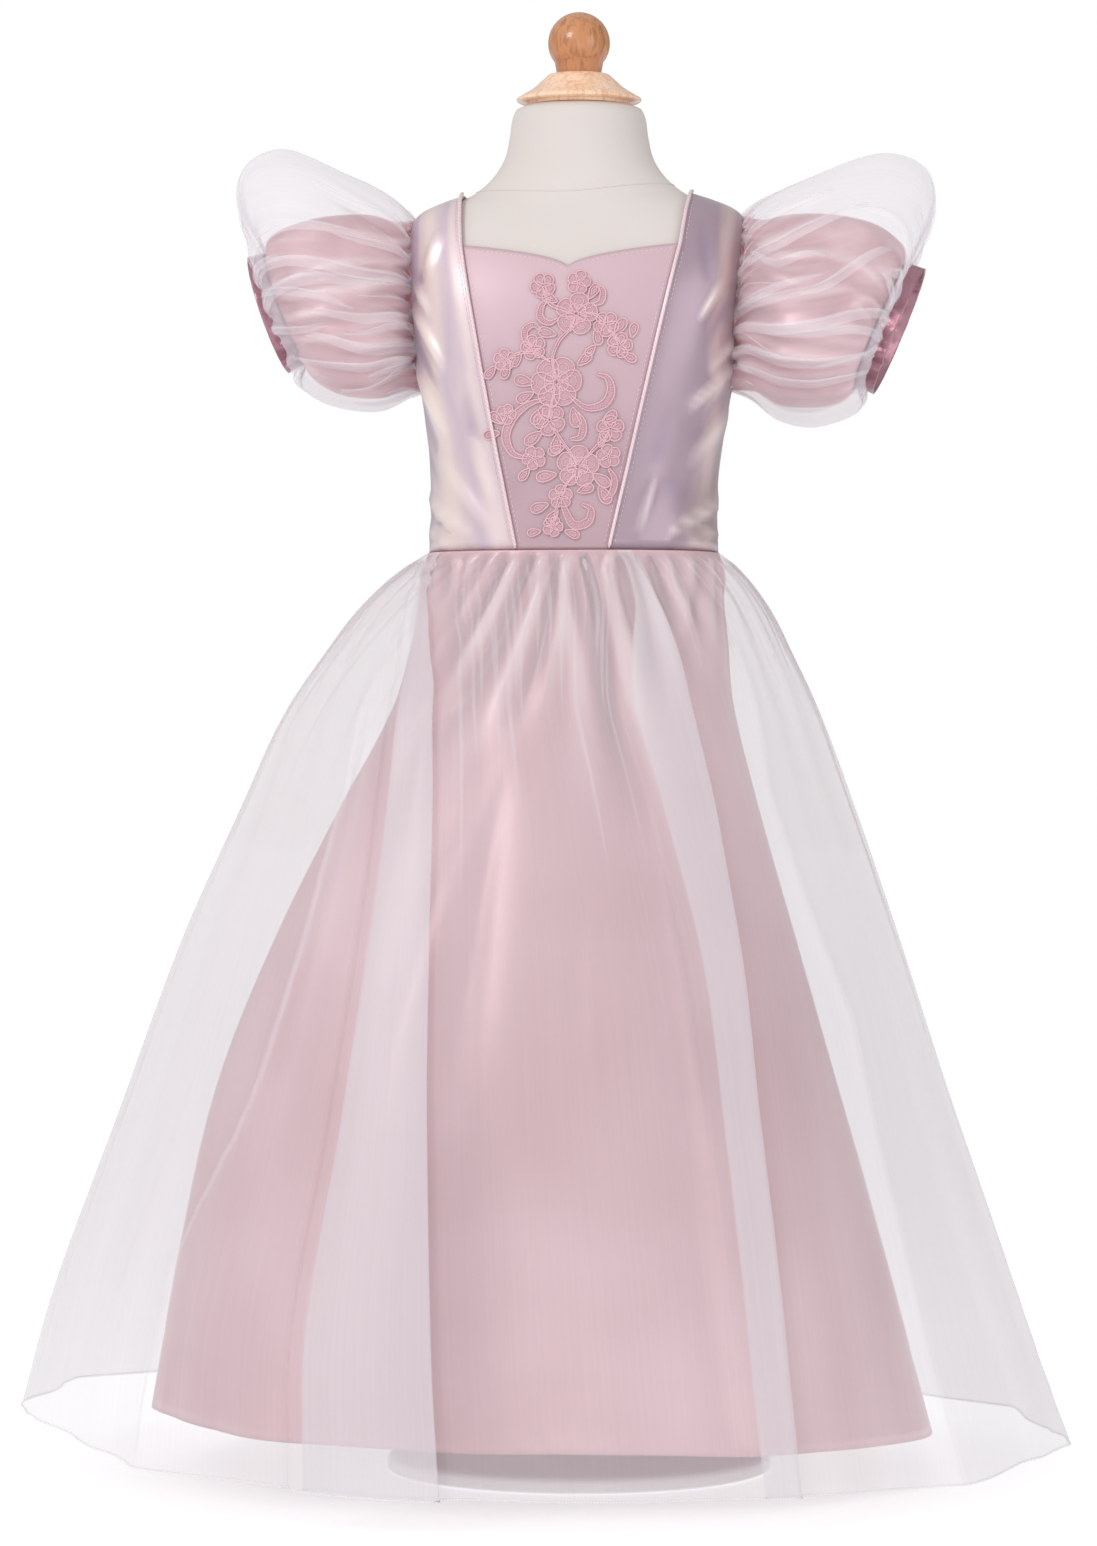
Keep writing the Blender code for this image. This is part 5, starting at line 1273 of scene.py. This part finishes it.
# Rolled three times, the hem is nearly white; its tiny overcast stitches are 2 mm apart.
place = add_node(tree, "ShaderNodeUVMap", uv_map="cloth")
overcast = add_node(
    tree, "ShaderNodeTexWave", {"Scale": 160.0}, {"Vector": (place, "UV")}, bands_direction="Y"
)
colour = add_node(
    tree, "ShaderNodeMix", {A: "E6E2E9", B: "F6F4F7"}, {"Factor": (overcast, "Fac")}, data_type="RGBA"
)
tree.links.new(colour.outputs[MIXED], shader.inputs["Base Color"])


TUCK_STEPS = 26


def tuck(grid, normals, row, column, half_width, closed=False):
    """A narrow tuck of doubled cloth along fractional rows and columns of a grid, pointed at both ends."""
    rows, columns = grid.shape[:2]
    i = np.clip(np.floor(row).astype(int), 0, rows - 2)
    j = np.floor(column).astype(int) if closed else np.clip(np.floor(column).astype(int), 0, columns - 2)
    s, t = (row - i)[:, None], (column - j)[:, None]

    def sampled(values):
        low = mix(values[i, j % columns], values[i, (j + 1) % columns], t)
        high = mix(values[i + 1, j % columns], values[i + 1, (j + 1) % columns], t)
        return mix(low, high, s)

    line, out = sampled(grid), sampled(normals)
    ahead = np.gradient(line, axis=0)
    aside = np.cross(ahead, out)
    aside /= np.linalg.norm(aside, axis=1, keepdims=True)
    taper = np.sin(np.pi * np.linspace(0.03, 0.97, len(line)))[:, None] ** 0.7 * half_width
    strip = [line + aside * taper * a + out * (0.3 + 0.9 * (1 - a * a)) for a in (-1.0, -0.4, 0.2, 0.7, 1.0)]
    strip = np.stack(strip, axis=1)
    faces = [tuple(reversed(face)) for face in grid_quads(*strip.shape[:2])]
    return strip.reshape(-1, 3), faces, cloth_uv(strip)


def grid_normals(grid, closed=False):
    """The outward normal at each point of a grid."""
    if closed:
        across = np.roll(grid, -1, axis=1) - np.roll(grid, 1, axis=1)
    else:
        across = np.gradient(grid, axis=1)
    normal = np.cross(np.gradient(grid, axis=0), across)
    return normal / (np.linalg.norm(normal, axis=2, keepdims=True) + 1e-9)


def skirt_tucks(grid, first, count, seed, number):
    """Tucks of uneven length that start in the waist gathers, over some columns of the overlay."""
    draw = random.Random(seed)
    drop = ORGANZA_SECTIONS[0][0] - ORGANZA_SECTIONS[-1][0]
    strips = []
    for i in range(number):
        start = first + count * (i + 0.5 + draw.uniform(-0.35, 0.35)) / number
        length = draw.uniform(30, 110) * draw.choice((0.7, 1.0, 1.0, 2.2))
        shift = draw.uniform(-0.025, 0.025) * count
        depth = np.linspace(draw.uniform(1.0, 8.0), length, TUCK_STEPS)
        rows = 1 - np.clip(depth / drop, 0, 1) ** (1 / ROW_CROWDING)
        column = np.clip(start + shift * depth / length, first + 1, first + count - 2)
        strips.append(tuck(grid, overlay_normals, rows * (ORGANZA_ROWS - 1), column, draw.uniform(0.6, 1.7)))
    return strips


overlay_normals = -grid_normals(organza_grid)
right_seam = OUTER_COLUMNS + 6 * PLEAT_STEPS
left_seam = OUTER_COLUMNS + 18 * PLEAT_STEPS + MIDDLE_COLUMNS
middle_start, left_start = OUTER_COLUMNS + 12 * PLEAT_STEPS, OUTER_COLUMNS + 24 * PLEAT_STEPS + MIDDLE_COLUMNS
# The long crisp folds left and right of the front: first column, then the fold's height and angle
LONG_FOLDS = {
    "right": (
        (0, ((600, 31), (561, 33.8), (462, 36.8), (390, 34.8), (312, 31.1), (230, 32.8), (25, 34.5)), 1.6),
    ),
    "front": (),
    "left": (
        (
            left_start,
            ((590, 137), (548, 132), (459, 127.6), (368, 126), (263, 127.4), (157, 133.8), (22, 132.7)), 2,
        ),
        (left_start, ((560, 146), (470, 142), (360, 141), (250, 144), (130, 147)), 1.3),
    ),
}
HEM_ROLL_RADIUS = 0.8
last_column = organza_grid.shape[1] - 1
for word, first, last, area, flat, tucked in (
    ("right", 0, right_seam, 0.41, (0.91, 0.65), (2, OUTER_COLUMNS - 4, 5, 40)),
    ("front", right_seam, left_seam, 0.195, (0.395, 0.66), (middle_start + 2, MIDDLE_COLUMNS - 4, 6, 20)),
    ("left", left_seam, last_column, 0.465, (1.10, 0.66), (left_start + 2, OUTER_COLUMNS - 4, 7, 40)),
):
    panel = cut_panel(organza_grid, first, last)
    piece = add_piece(f"organza_{word}", panel, grid_quads(*panel.shape[:2]), organza, cloth_uv(panel))
    roll = add_tubes(f"organza_hem_{word}", [tube(panel[0, ::2], HEM_ROLL_RADIUS, 6)], hem_roll)
    strips = skirt_tucks(organza_grid, *tucked)
    for start, path, half_width in LONG_FOLDS[word]:
        path = np.array(sorted(path), float)
        fold_height = np.linspace(path[0, 0], path[-1, 0], 60)
        fold_angle = np.interp(fold_height, path[:, 0], path[:, 1])
        row = np.interp(fold_height, heights, np.arange(ORGANZA_ROWS))
        near = np.rint(row).astype(int)
        zone = slice(start, start + OUTER_COLUMNS)
        spots = zip(fold_angle, near)
        column = np.array([np.interp(a, angle[r, zone], np.arange(OUTER_COLUMNS)) for a, r in spots])
        column = start + np.convolve(np.pad(column, 3, mode="edge"), np.ones(7) / 7, mode="valid")
        strips.append(tuck(organza_grid, overlay_normals, row, column, half_width))
    # The tucks and long folds are drawn in the paler tuck organza, a painted highlight along each fold.
    folds = add_tubes(f"organza_tucks_{word}", strips, organza_tuck_highlight)
    for each in (piece, roll, folds):
        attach(each, "root")
    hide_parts(f"organza_skirt_{word}")

# The puffed sleeves: pink satin inside, gathered at the armhole and into the cuff, and over it a larger
# puff of the same organza, caught in both seams. The cuff is a flared band of pink foil cloth.

SLEEVE_CLOTH, SLEEVE_CLEARANCE, ARMHOLE_STEP = 1.0, 1.4, 2.4
# top_x, top_z, bottom_x, bottom_z, half_depth of each ring from the armhole to the cuff
SLEEVES = {
    "right": {
        "satin": (
            (126, 846, 121, 731, 41), (147, 850, 137, 722, 57),
            (176, 849, 158, 720.5, 61), (203, 842, 174, 722.5, 54),
            (219, 829, 184, 729, 44.5), (221.5, 817, 186.5, 737, 39),
        ),
        "organza": (
            (124, 862, 118, 725, 50), (147, 877, 136, 711, 64),
            (180, 887, 158, 706.5, 71), (212, 891, 177, 711, 67),
            (236, 880, 189, 717, 57), (240, 852, 192, 724, 48),
            (224.2, 818, 187.7, 734.4, 40.6),
        ),
        "cuff": ((222.9, 816.4, 187.9, 736.4, 38.5), (235, 812, 200, 729, 42.5)),
    },
    "left": {
        "satin": (
            (126, 848, 121, 734, 41), (145, 853, 135, 729, 56),
            (172, 852, 155, 729.5, 60), (197, 846, 172, 734.5, 53),
            (211.5, 838, 183, 744, 43), (213.5, 827.5, 186, 754, 37.5),
        ),
        "organza": (
            (124, 862, 118, 728, 50), (147, 879, 136, 719.5, 63),
            (177, 895, 157, 720, 69), (205, 900, 176, 725, 65),
            (229, 887, 188, 733, 55), (232, 861, 191.5, 741, 46),
            (216, 828.5, 187, 751.8, 39.3),
        ),
        "cuff": ((214.9, 826.9, 187.4, 753.5, 37), (226.5, 825, 200, 746.5, 41)),
    },
}
# Tucks over the front of a puff: share of its length and turn from its top, at both ends, and half width
PUFF_TUCKS = {
    "right": (
        (0.08, 72, 0.6, 57, 1.9), (0.56, 57, 0.95, 74, 1.6), (0.01, 99, 0.45, 90, 1.8),
        (0.42, 91, 0.72, 76, 1.5), (0.03, 109, 0.93, 101, 1.8), (0.05, 124, 0.75, 121, 1.7),
        (0.02, 120, 0.27, 139, 1.4), (0.72, 84, 0.84, 79, 1.4), (0.8, 79, 0.97, 91, 1.4),
        (0.7, 85, 0.88, 97, 1.2), (0.05, 84, 0.42, 87, 1.1), (0.08, 92, 0.5, 87, 1.2),
        (0.3, 109, 0.92, 113, 1.3), (0.1, 136, 0.8, 133, 1.4), (0.25, 65, 0.5, 80, 1.3),
        (0.02, 76, 0.3, 80, 1), (0.05, 114, 0.4, 117, 1), (0.5, 126, 0.95, 118, 1.3),
        (0.1, 52, 0.5, 44, 1.3),
    ),
    "left": (
        (0.01, 70, 0.85, 93, 1.8), (0.27, 83, 0.93, 108, 1.9), (0.03, 96, 0.56, 108, 1.5),
        (0.02, 113, 0.6, 123, 1.8), (0.03, 122, 0.38, 140, 1.5), (0.03, 88, 0.42, 95, 1.1),
        (0.05, 104, 0.45, 112, 1.2), (0.1, 129, 0.72, 134, 1.4), (0.3, 62, 0.9, 78, 1.5),
        (0.5, 112, 0.95, 121, 1.4), (0.02, 58, 0.45, 66, 1.2), (0.6, 84, 0.97, 88, 1.3),
        (0.04, 80, 0.3, 83, 1), (0.4, 100, 0.8, 98, 1.2), (0.08, 48, 0.5, 40, 1.3),
        (0.02, 134, 0.5, 146, 1.2),
    ),
}
# Where the organza sags between its gathers: turn and percent of its length at both ends, half width, rise
PUFF_DENTS = {
    "right": (
        (330, 36, 395, 40, 13, -6), (-30, 36, 35, 40, 13, -6), (60, 30, 80, 62, 9, -3),
        (100, 55, 124, 80, 9, -3), (86, 20, 104, 44, 7, 2.5), (128, 20, 142, 60, 9, -3),
    ),
    "left": (
        (330, 44, 395, 50, 12, -5.5), (-30, 44, 35, 50, 12, -5.5), (64, 40, 84, 70, 9, -3),
        (104, 22, 118, 60, 8, -3), (90, 50, 112, 84, 8, 2.5), (130, 40, 142, 76, 9, -3),
    ),
}
PUFF_COLUMNS, PUFF_ROWS, CUFF_ROWS, SEAM_PINCHES = 252, 72, 14, 46
puff_turn = np.arange(PUFF_COLUMNS) * 360 / PUFF_COLUMNS


def armhole_ring(side, inset, offset):
    """Points round the armhole, from its top over the front."""
    turn = np.radians(puff_turn)
    height = ARMHOLE_CENTRE + (ARMHOLE_HALF_HEIGHT - inset) * np.cos(turn)
    angle = armhole_angle(height, np.sin(turn) >= 0, inset)
    return on_form(mirrored(angle, side), height, offset)


def sleeve_ring(side, top_x, top_z, bottom_x, bottom_z, half_depth):
    turn = np.radians(puff_turn)[:, None]
    centre = np.array((side * (top_x + bottom_x) / 2, 0.0, (top_z + bottom_z) / 2))
    up = np.array((side * (top_x - bottom_x) / 2, 0.0, (top_z - bottom_z) / 2))
    return centre + up * np.cos(turn) + np.array((0.0, -half_depth, 0.0)) * np.sin(turn)


def sleeve_tube(name, rings, rise, side, finish, rows, thickness=0.0, fold=None):
    """A tube of cloth through rings, moved out by a rise, with its seam at the bottom of the arm."""
    rings = np.array(rings)
    spots = np.linspace(0, len(rings) - 1, rows)
    ends = np.concatenate([rings[:1] * 2 - rings[1:2], rings, rings[-1:] * 2 - rings[-2:-1]])
    grid = []
    for spot in spots:
        i = min(int(spot), len(rings) - 2)
        t, (a, b, c, d) = spot - i, ends[i:i + 4]
        second, third = 2 * a - 5 * b + 4 * c - d, 3 * b - a - 3 * c + d
        grid.append(b + t * (c - a) / 2 + t**2 * second / 2 + t**3 * third / 2)
    grid = np.array(grid)
    across = np.roll(grid, -1, axis=1) - np.roll(grid, 1, axis=1)
    normal = np.cross(np.gradient(grid, axis=0), across)
    normal *= -side / np.linalg.norm(normal, axis=2, keepdims=True)
    grid = grid + normal * rise[..., None]
    faces = grid_quads(rows, PUFF_COLUMNS, closed=True)
    if side > 0:
        faces = [tuple(reversed(face)) for face in faces]
    share = np.linspace(0, 0.12, rows)[:, None]
    uv = np.stack(np.broadcast_arrays(np.linspace(0, 0.5, PUFF_COLUMNS)[None, :], share), axis=-1)
    piece = add_piece(name, grid, faces, finish, uv, fold)
    if thickness:
        finish_with(piece, "SOLIDIFY", thickness=thickness * MM, offset=0.0)
    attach(piece, "root")
    return piece, grid, normal


# The last colour is the painted shade down in the creases.
sleeve_satin = pink_satin_finish("pink_sleeve_satin", 0.34, 30.0, "BA747A", "DEA9AE", "C08A8F")
sleeve_organza = clear_organza("clear_sleeve_organza", 0.33, "F2EEF3", "E6E0E8")
# The sleeve tucks' copy is paler too: a painted highlight along each fold of the puff.
sleeve_tuck_highlight = clear_organza("tucked_sleeve_organza_painted_highlight", 0.26, "F8F5F8", "EFEAF0")
foil, tree, shader = new_finish("pink_foil_cloth", Metallic=0.75, Roughness=0.27)
# Foil pressed on a knit: it mirrors softly and breaks into fine crackle lines 2 to 4 mm apart.
place = add_node(tree, "ShaderNodeTexCoord")
crackle = add_node(
    tree, "ShaderNodeTexVoronoi", {"Scale": 260.0},
    {"Vector": (place, "Object")}, feature="DISTANCE_TO_EDGE",
)
worn = add_node(tree, "ShaderNodeTexNoise", {"Scale": 90.0, "Detail": 3.0}, {"Vector": (place, "Object")})
colour = add_node(
    tree, "ShaderNodeMix", {A: "9A6C77", B: "C093A0"}, {"Factor": (worn, "Fac")}, data_type="RGBA"
)
dress_shader(tree, shader, colour, (crackle, "Distance"), 0.35, 0.0006)

inset_organza = SEAM_GAP + SLEEVE_CLOTH / 2
inset_satin = inset_organza + SLEEVE_CLOTH + SEAM_GAP
share = np.linspace(0, 1, PUFF_ROWS)[:, None]
for word, side in (("right", 1), ("left", -1)):
    seed = 31 if side > 0 else 47
    turn = puff_turn[None, :]
    front = [(turn_0, at_0, turn_1, at_1, half) for at_0, turn_0, at_1, turn_1, half in PUFF_TUCKS[word]]
    hidden = [(348 - turn_0, at_0, 352 - turn_1, at_1, half) for turn_0, at_0, turn_1, at_1, half in front]
    into_armhole = drawn_gathers(seed, 0, 360, 34, (30, 58), (2.4, 4.2), (2.0, 3.6), 9)
    into_cuff = drawn_gathers(seed + 1, 0, 360, 30, (24, 48), (2.6, 4.6), (1.8, 3.2), 9)
    gathers = gathered(turn, share * 100, into_armhole, 8.0)
    gathers += gathered(turn, (1 - share) * 100, into_cuff, 8.0)
    ridges = np.zeros_like(gathers)
    for turn_0, at_0, turn_1, at_1, half in front + hidden:
        ends = (turn_0, at_0 * 100, turn_1, at_1 * 100)
        under = (turn_0 + 6, at_0 * 100, turn_1 + 7, at_1 * 100)
        crest_and_hollow = ((*ends, 2.4 * half, 1.9 * half), (*under, 3.0 * half, -1.5 * half))
        ridges += creased(turn, share * 100, crest_and_hollow)
    for cloth, inset, finish, strength, thickness, area, flat in (
        ("satin", inset_satin, sleeve_satin, 0.5, SLEEVE_CLOTH, 0.038, (0.39, 0.125)),
        ("organza", inset_organza, sleeve_organza, 1.0, 0.0, 0.063, (0.51, 0.21)),
    ):
        offsets = (SLEEVE_CLEARANCE, SLEEVE_CLEARANCE + ARMHOLE_STEP)
        rings = [armhole_ring(side, inset, offset) for offset in offsets]
        rings += [sleeve_ring(side, *row) for row in SLEEVES[word][cloth]]
        sag = creased(turn, share * 100, PUFF_DENTS[word]) if cloth == "organza" else 0.0
        held = smooth_step(share, 0.0, 0.12) * smooth_step(1 - share, 0.0, 0.1)
        rise = (gathers + ridges * (1.6 - strength * 0.4) + sag) * strength * held
        # How high each point stands in the gathers and creases, which sets the sleeve satin's painted
        # highlight and shade
        fold = 0.5 + (gathers + ridges * 0.7) / 6.0
        piece, grid, normal = sleeve_tube(
            f"{cloth}_puff_{word}", rings, rise, side, finish, PUFF_ROWS, thickness, fold
        )
        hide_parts(f"sleeve_{cloth}_{word}")
        extra = []
        if cloth == "organza":
            strips = []
            draw = random.Random(seed + 5)
            pinches = []
            for _ in range(SEAM_PINCHES):
                at, reach = draw.uniform(0, 360), draw.uniform(0.1, 0.34)
                pinches.append((at, 0.0, at + draw.uniform(-6, 6), reach, draw.uniform(0.5, 1.1)))
                at = draw.uniform(0, 360)
                begin = 1 - draw.uniform(0.1, 0.28)
                pinches.append((at, begin, at + draw.uniform(-6, 6), 1.0, draw.uniform(0.5, 1.0)))
            for turn_0, at_0, turn_1, at_1, half in front + hidden + pinches:
                rows = np.linspace(at_0, at_1, TUCK_STEPS) * (PUFF_ROWS - 1)
                column = np.linspace(turn_0, turn_1, TUCK_STEPS) * PUFF_COLUMNS / 360
                sway = np.sin(np.linspace(0, math.tau * 0.8, TUCK_STEPS))
                column = column + draw.uniform(-3.0, 3.0) * sway
                strips.append(tuck(grid, normal, rows, column, half * 0.7, closed=True))
                if half > 1.15:
                    strips.append(tuck(grid, normal, rows, column + 1.2, half * 2.4, closed=True))
            extra = [add_tubes(f"organza_puff_tucks_{word}", strips, sleeve_tuck_highlight)]
            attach(extra[0], "root")
    rings = [sleeve_ring(side, *row) for row in SLEEVES[word]["cuff"]]
    crinkles = drawn_gathers(seed + 2, 0, 360, 40, (50, 130), (2.0, 4.5), (0.6, 1.5), 12)
    rise = gathered(puff_turn[None, :], np.linspace(0, 1, CUFF_ROWS)[:, None] * 80, crinkles, 10.0)
    cuff = sleeve_tube(f"cuff_{word}", rings, rise, side, foil, CUFF_ROWS, SLEEVE_CLOTH)[0]
    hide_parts(f"sleeve_cuff_{word}")

# The set: a plain pale floor, a large soft light at the upper left, a weaker one at the right, and a
# low one in front that lights the hem and the base under it.

floor_finish, tree, shader = new_finish("pale_floor", Roughness=0.8)
# The floor is seen pure white, like the sweep in the photograph, but it lights the dress only softly.
shader.inputs["Base Color"].default_value = linear("B4B4B8")
shader.inputs["Emission Color"].default_value = linear("FFFFFF")
seen = add_node(tree, "ShaderNodeLightPath")
glow = add_node(
    tree, "ShaderNodeMapRange", {"To Min": 0.54, "To Max": 0.68}, {"Value": (seen, "Is Camera Ray")}
)
tree.links.new(glow.outputs["Result"], shader.inputs["Emission Strength"])
bpy.ops.mesh.primitive_plane_add(size=40.0, location=(0, 0, 0))
floor = bpy.context.object
floor.name = "floor"
floor.data.materials.append(floor_finish)
floor.select_set(False)


def soft_light(name, place, target, size, power):
    lamp = bpy.data.lights.new(name, "AREA")
    lamp.size = size
    lamp.energy = power
    holder = bpy.data.objects.new(name, lamp)
    bpy.context.scene.collection.objects.link(holder)
    holder.location = place
    holder.rotation_euler = (Vector(target) - Vector(place)).to_track_quat("-Z", "Y").to_euler()


soft_light("key", (-1.5, -2.3, 2.2), (0, 0, 0.55), 0.9, 25.0)
soft_light("fill", (2.2, -1.8, 1.2), (0, 0, 0.5), 1.6, 13.0)
soft_light("low", (0.3, -2.8, 0.25), (0, 0, 0.1), 1.2, 5.0)
world = bpy.data.worlds.new("studio")
bpy.context.scene.world = world
world.use_nodes = True
sky = world.node_tree.nodes["Background"]
# Brighter from the upper left in front than from below and behind, and pure white where it is seen
ray = add_node(world.node_tree, "ShaderNodeLightPath")
around = add_node(world.node_tree, "ShaderNodeTexCoord")
toward = add_node(
    world.node_tree, "ShaderNodeVectorMath", {1: (-0.5, -0.45, 0.74)}, {0: (around, "Generated")},
    operation="DOT_PRODUCT",
)
lit = add_node(
    world.node_tree, "ShaderNodeMapRange",
    {"From Min": -0.7, "From Max": 0.95, "To Min": 0.25, "To Max": 0.89}, {"Value": (toward, "Value")},
)
level = add_node(
    world.node_tree, "ShaderNodeMath", None, {0: (lit, "Result"), 1: (ray, "Is Camera Ray")},
    operation="MAXIMUM",
)
world.node_tree.links.new(level.outputs["Value"], sky.inputs["Strength"])
sky.inputs["Color"].default_value = (1.0, 1.0, 1.0, 1.0)
bpy.context.scene.view_settings.view_transform = "Standard"

# The camera: level with the middle of the skirt, 3.5 m away and 6 degrees to the picture's right. It
# aims a little beside the axis, so that the dress stands in the frame as it does in the picture.

FOCAL_PIXELS, DISTANCE, EYE_HEIGHT = 5147.0, 3.5, 0.495
AIM_RIGHT, AIM_DOWN = -30.5, 33.0
swing = math.radians(6.0)
lens = bpy.data.cameras.new("camera")
lens.lens = FOCAL_PIXELS * 36.0 / 1546.0
lens.sensor_width = 36.0
camera = bpy.data.objects.new("camera", lens)
bpy.context.scene.collection.objects.link(camera)
camera.location = (DISTANCE * math.sin(swing), -DISTANCE * math.cos(swing), EYE_HEIGHT)
ahead = Vector((-math.sin(swing), math.cos(swing), 0.0)) * FOCAL_PIXELS
ahead += Vector((math.cos(swing), math.sin(swing), 0.0)) * AIM_RIGHT - Vector((0, 0, AIM_DOWN))
camera.rotation_euler = ahead.to_track_quat("-Z", "Y").to_euler()
bpy.context.scene.camera = camera
